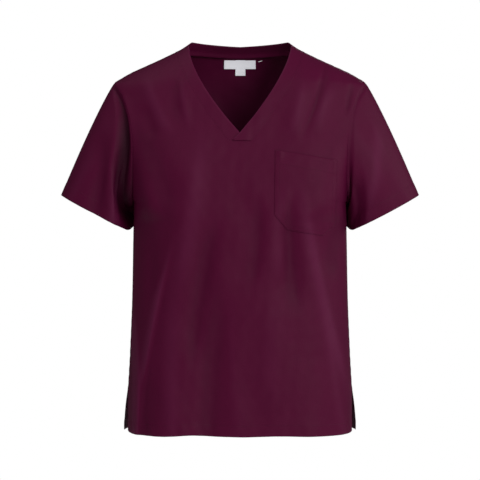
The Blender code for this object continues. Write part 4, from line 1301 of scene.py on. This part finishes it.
def pocket_line(inset):
    """A line inside the pocket's two sides, cut corners and foot, on the pocket's own grid."""
    corner = POCKET_CORNER + inset * (math.sqrt(2.0) - 1.0)
    low = POCKET_HEIGHT - corner
    marks_x = [inset, inset, corner, POCKET_WIDTH - corner, POCKET_WIDTH - inset, POCKET_WIDTH - inset]
    marks_down = [MOUTH_MARGIN, low, POCKET_HEIGHT - inset, POCKET_HEIGHT - inset, low, MOUTH_MARGIN]
    run = np.linspace(0.0, 5.0, 201)  # five stretches, 40 steps on each
    x, down = (np.interp(run, np.arange(6.0), marks) for marks in (marks_x, marks_down))
    cut = np.maximum(0.0, POCKET_CORNER - np.minimum(x, POCKET_WIDTH - x))
    last = POCKET_GRID - 1.0
    return on_grid(pocket_grid, down / (POCKET_HEIGHT - cut) * last, x / POCKET_WIDTH * last)


print("stitches", STITCH_PITCH, "mm apart")

# %% Stitches on each piece
SEAM_STITCH, BAND_STITCH, POCKET_STITCHES = 5.0, 1.6, (EDGE_LINE, 8.0)
vents = np.s_[: VENT_ROWS + 2]
shoulders = (np.s_[: SHOULDER_COLUMNS - 2], np.s_[2 - SHOULDER_COLUMNS :])
runs = {
    name: [line_in(grids[name], "foot", HEM_WIDTH)]
    + [line_in(grids[name], border, VENT_HEM_WIDTH, vents) for border in ("first", "last")]
    for name in ("front_panel", "back_panel")
}
# the shoulder seam is pressed to the back and topstitched there
runs["back_panel"] += [line_in(grids["back_panel"], "top", SEAM_STITCH, stretch) for stretch in shoulders]
for name in ("sleeve_left", "sleeve_right"):
    runs[name] = [line_in(grids[name], "top", SLEEVE_HEM_WIDTH, closed=True)]
for name in ("neckband_front_left", "neckband_front_right", "neckband_back"):
    runs[name] = [line_in(grids[name], "last", BAND_STITCH)]
runs["chest_pocket"] = [pocket_line(inset) for inset in POCKET_STITCHES]
runs["chest_pocket"] += [line_in(pocket_grid, "foot", MOUTH_HEM)]
sewn_with = {name: stitches(f"{name}_stitches", lines, THREAD_RED) for name, lines in runs.items()}

THREAD_END = np.array([[34.0, -27.4], [42.0, -25.4]])  # x and z of a white thread end left beside the label
end_z = THREAD_END[:, 1] + np.array([[0.0], [0.1]])
end_x = THREAD_END[:, 0] + 0.0 * end_z
end_points = on_body(end_x, end_z, 1, -(WALL + 0.5))[0]
end_normals = np.array([[0.0, -1.0, 0.0]] * 2)
sewn_with["neck_label"] = stitches(
    "neck_label_thread_end", [(end_points, end_normals)], THREAD_WHITE, pitch=8.6, long=8.4, thick=1.1
)
print("stitches:", sum(len(made.data.polygons) for made in sewn_with.values()) // len(bead_faces()))

# %% [markdown]
# ## What stands for what
#
# The rough solids of the frame are replaced one by one, and each piece of cloth says how large it was cut,
# which is read off its own grid: its first line across (a band's width is known), its longest line along, and
# its area.

# %% Rides and cloth sizes
def cut_of(grid, closed, width=None):
    """((width, length), area) of a grid's surface in metres. A tube counts all the way round."""
    if closed:
        grid = np.concatenate([grid, grid[:, :1]], axis=1)
    diagonals = np.cross(grid[1:, 1:] - grid[:-1, :-1], grid[1:, :-1] - grid[:-1, 1:])
    area = np.linalg.norm(diagonals, axis=-1).sum() / 2.0 * 1e-6
    width = width or float(lengths(grid[:1], 1).max())
    return (width * 0.001, float(lengths(grid, 0).max()) * 0.001), float(area)


HELD = {
    # solid: (how its cloth is held, what it hangs from or lies on)
    "front_panel": ("hung", "neckband_back back_panel"),
    "back_panel": ("hung", "neckband_back front_panel"),
    "sleeve_left": ("hung", "front_panel back_panel"),
    "sleeve_right": ("hung", "front_panel back_panel"),
    "neckband_front_left": ("folded", "front_panel"),
    "neckband_front_right": ("folded", "front_panel"),
    "neckband_back": ("folded", "back_panel"),
    "chest_pocket": ("laid", "front_panel"),
    "neck_label": ("hung", "back_panel"),
    "size_tab": ("hung", "back_panel"),
}
for name, (held, below) in HELD.items():
    piece, thread = pieces[name], [sewn_with[name]] if name in sewn_with else []
    for made in [piece, *thread]:
        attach(made, "root")
    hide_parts(name)
    flat, area = cut_of(grids[name], name.startswith("sleeve"), BAND_WIDTH if held == "folded" else None)
    print(name, "cut", round(flat[0], 3), "by", round(flat[1], 3), "m,", round(area, 4), "square metres")

# %% [markdown]
# ## Camera, floor and light
#
# Dark cloth needs broad, soft lights: a small lamp would make hard shades, and an even room would hide the
# folds. So discs more than a metre wide stand round the shirt, and the room is white to the camera, but weak as
# a light and weaker still in the cloth's gloss.

# %% Camera and floor
scene = bpy.context.scene
camera_data = bpy.data.cameras.new("camera")
camera_data.lens, camera_data.sensor_width = 143.96, 36.0
camera = scene.camera = placed("camera", camera_data)
camera.location, camera.rotation_euler = (0.0, -3.507, -0.3608), (math.pi / 2.0, 0.0, 0.0)

FLOOR_Z, FLOOR_RADIUS, FLOOR_CORNERS = -1450.0, 3000.0, 96
turn = 2.0 * np.pi * np.arange(FLOOR_CORNERS) / FLOOR_CORNERS
disc = np.stack([np.cos(turn) * FLOOR_RADIUS, np.sin(turn) * FLOOR_RADIUS, 0.0 * turn + FLOOR_Z], axis=-1)
floor_material, _, floor_shader = new_material("pale_floor")
set_sockets(floor_shader, Base_Color=linear("f2f2f2"), Roughness=0.9)
floor = mesh_object("floor", disc, np.arange(FLOOR_CORNERS)[None], floor_material)
print("camera at", tuple(round(v, 3) for v in camera.location))

# %% Room and lights
ROOM_LIGHT, ROOM_GLOSS, ROOM_SHOWN = 0.23, 0.05, 1.0  # its strength as light, in gloss, and as the backdrop
world = scene.world = bpy.data.worlds.new("pale_room")
world.use_nodes = True
room, background = world.node_tree, world.node_tree.nodes["Background"]
ray = node(room, "ShaderNodeLightPath").outputs
strength = ROOM_LIGHT
for seen_by, there in (("Is Glossy Ray", ROOM_GLOSS), ("Is Camera Ray", ROOM_SHOWN)):
    mix = node(room, "ShaderNodeMix", {"data_type": "FLOAT"}, _0=ray[seen_by], _2=strength, _3=there)
    strength = mix.outputs[0]
room.links.new(strength, background.inputs["Strength"])
background.inputs["Color"].default_value = (1.0, 1.0, 1.0, 1.0)
scene.view_settings.view_transform = "Standard"

MIDDLE = (0.0, 0.0, -0.35)
for name, place, aim, size, watts in (
    ("main", (1.57, -2.72, 0.67), MIDDLE, 1.4, 38.0),
    ("side", (3.14, 0.0, 0.67), MIDDLE, 1.4, 21.0),
    ("high_fill", (-1.5, -1.5, 2.18), MIDDLE, 1.6, 17.0),
    ("top", (-0.9, 0.3, 2.8), (0.0, 0.0, -0.3), 1.4, 8.0),
    ("back", (0.7, 3.0, 0.3), MIDDLE, 1.4, 16.0),
):
    data = bpy.data.lights.new(name, "AREA")
    data.shape, data.size, data.energy = "DISK", size, watts
    light = placed(name, data)
    ahead = unit(np.array(aim) - np.array(place))
    light.location = place
    light.rotation_euler = (math.acos(-ahead[2]), 0.0, math.atan2(ahead[1], ahead[0]) - math.pi / 2.0)
    print("light", name, watts, "watts")
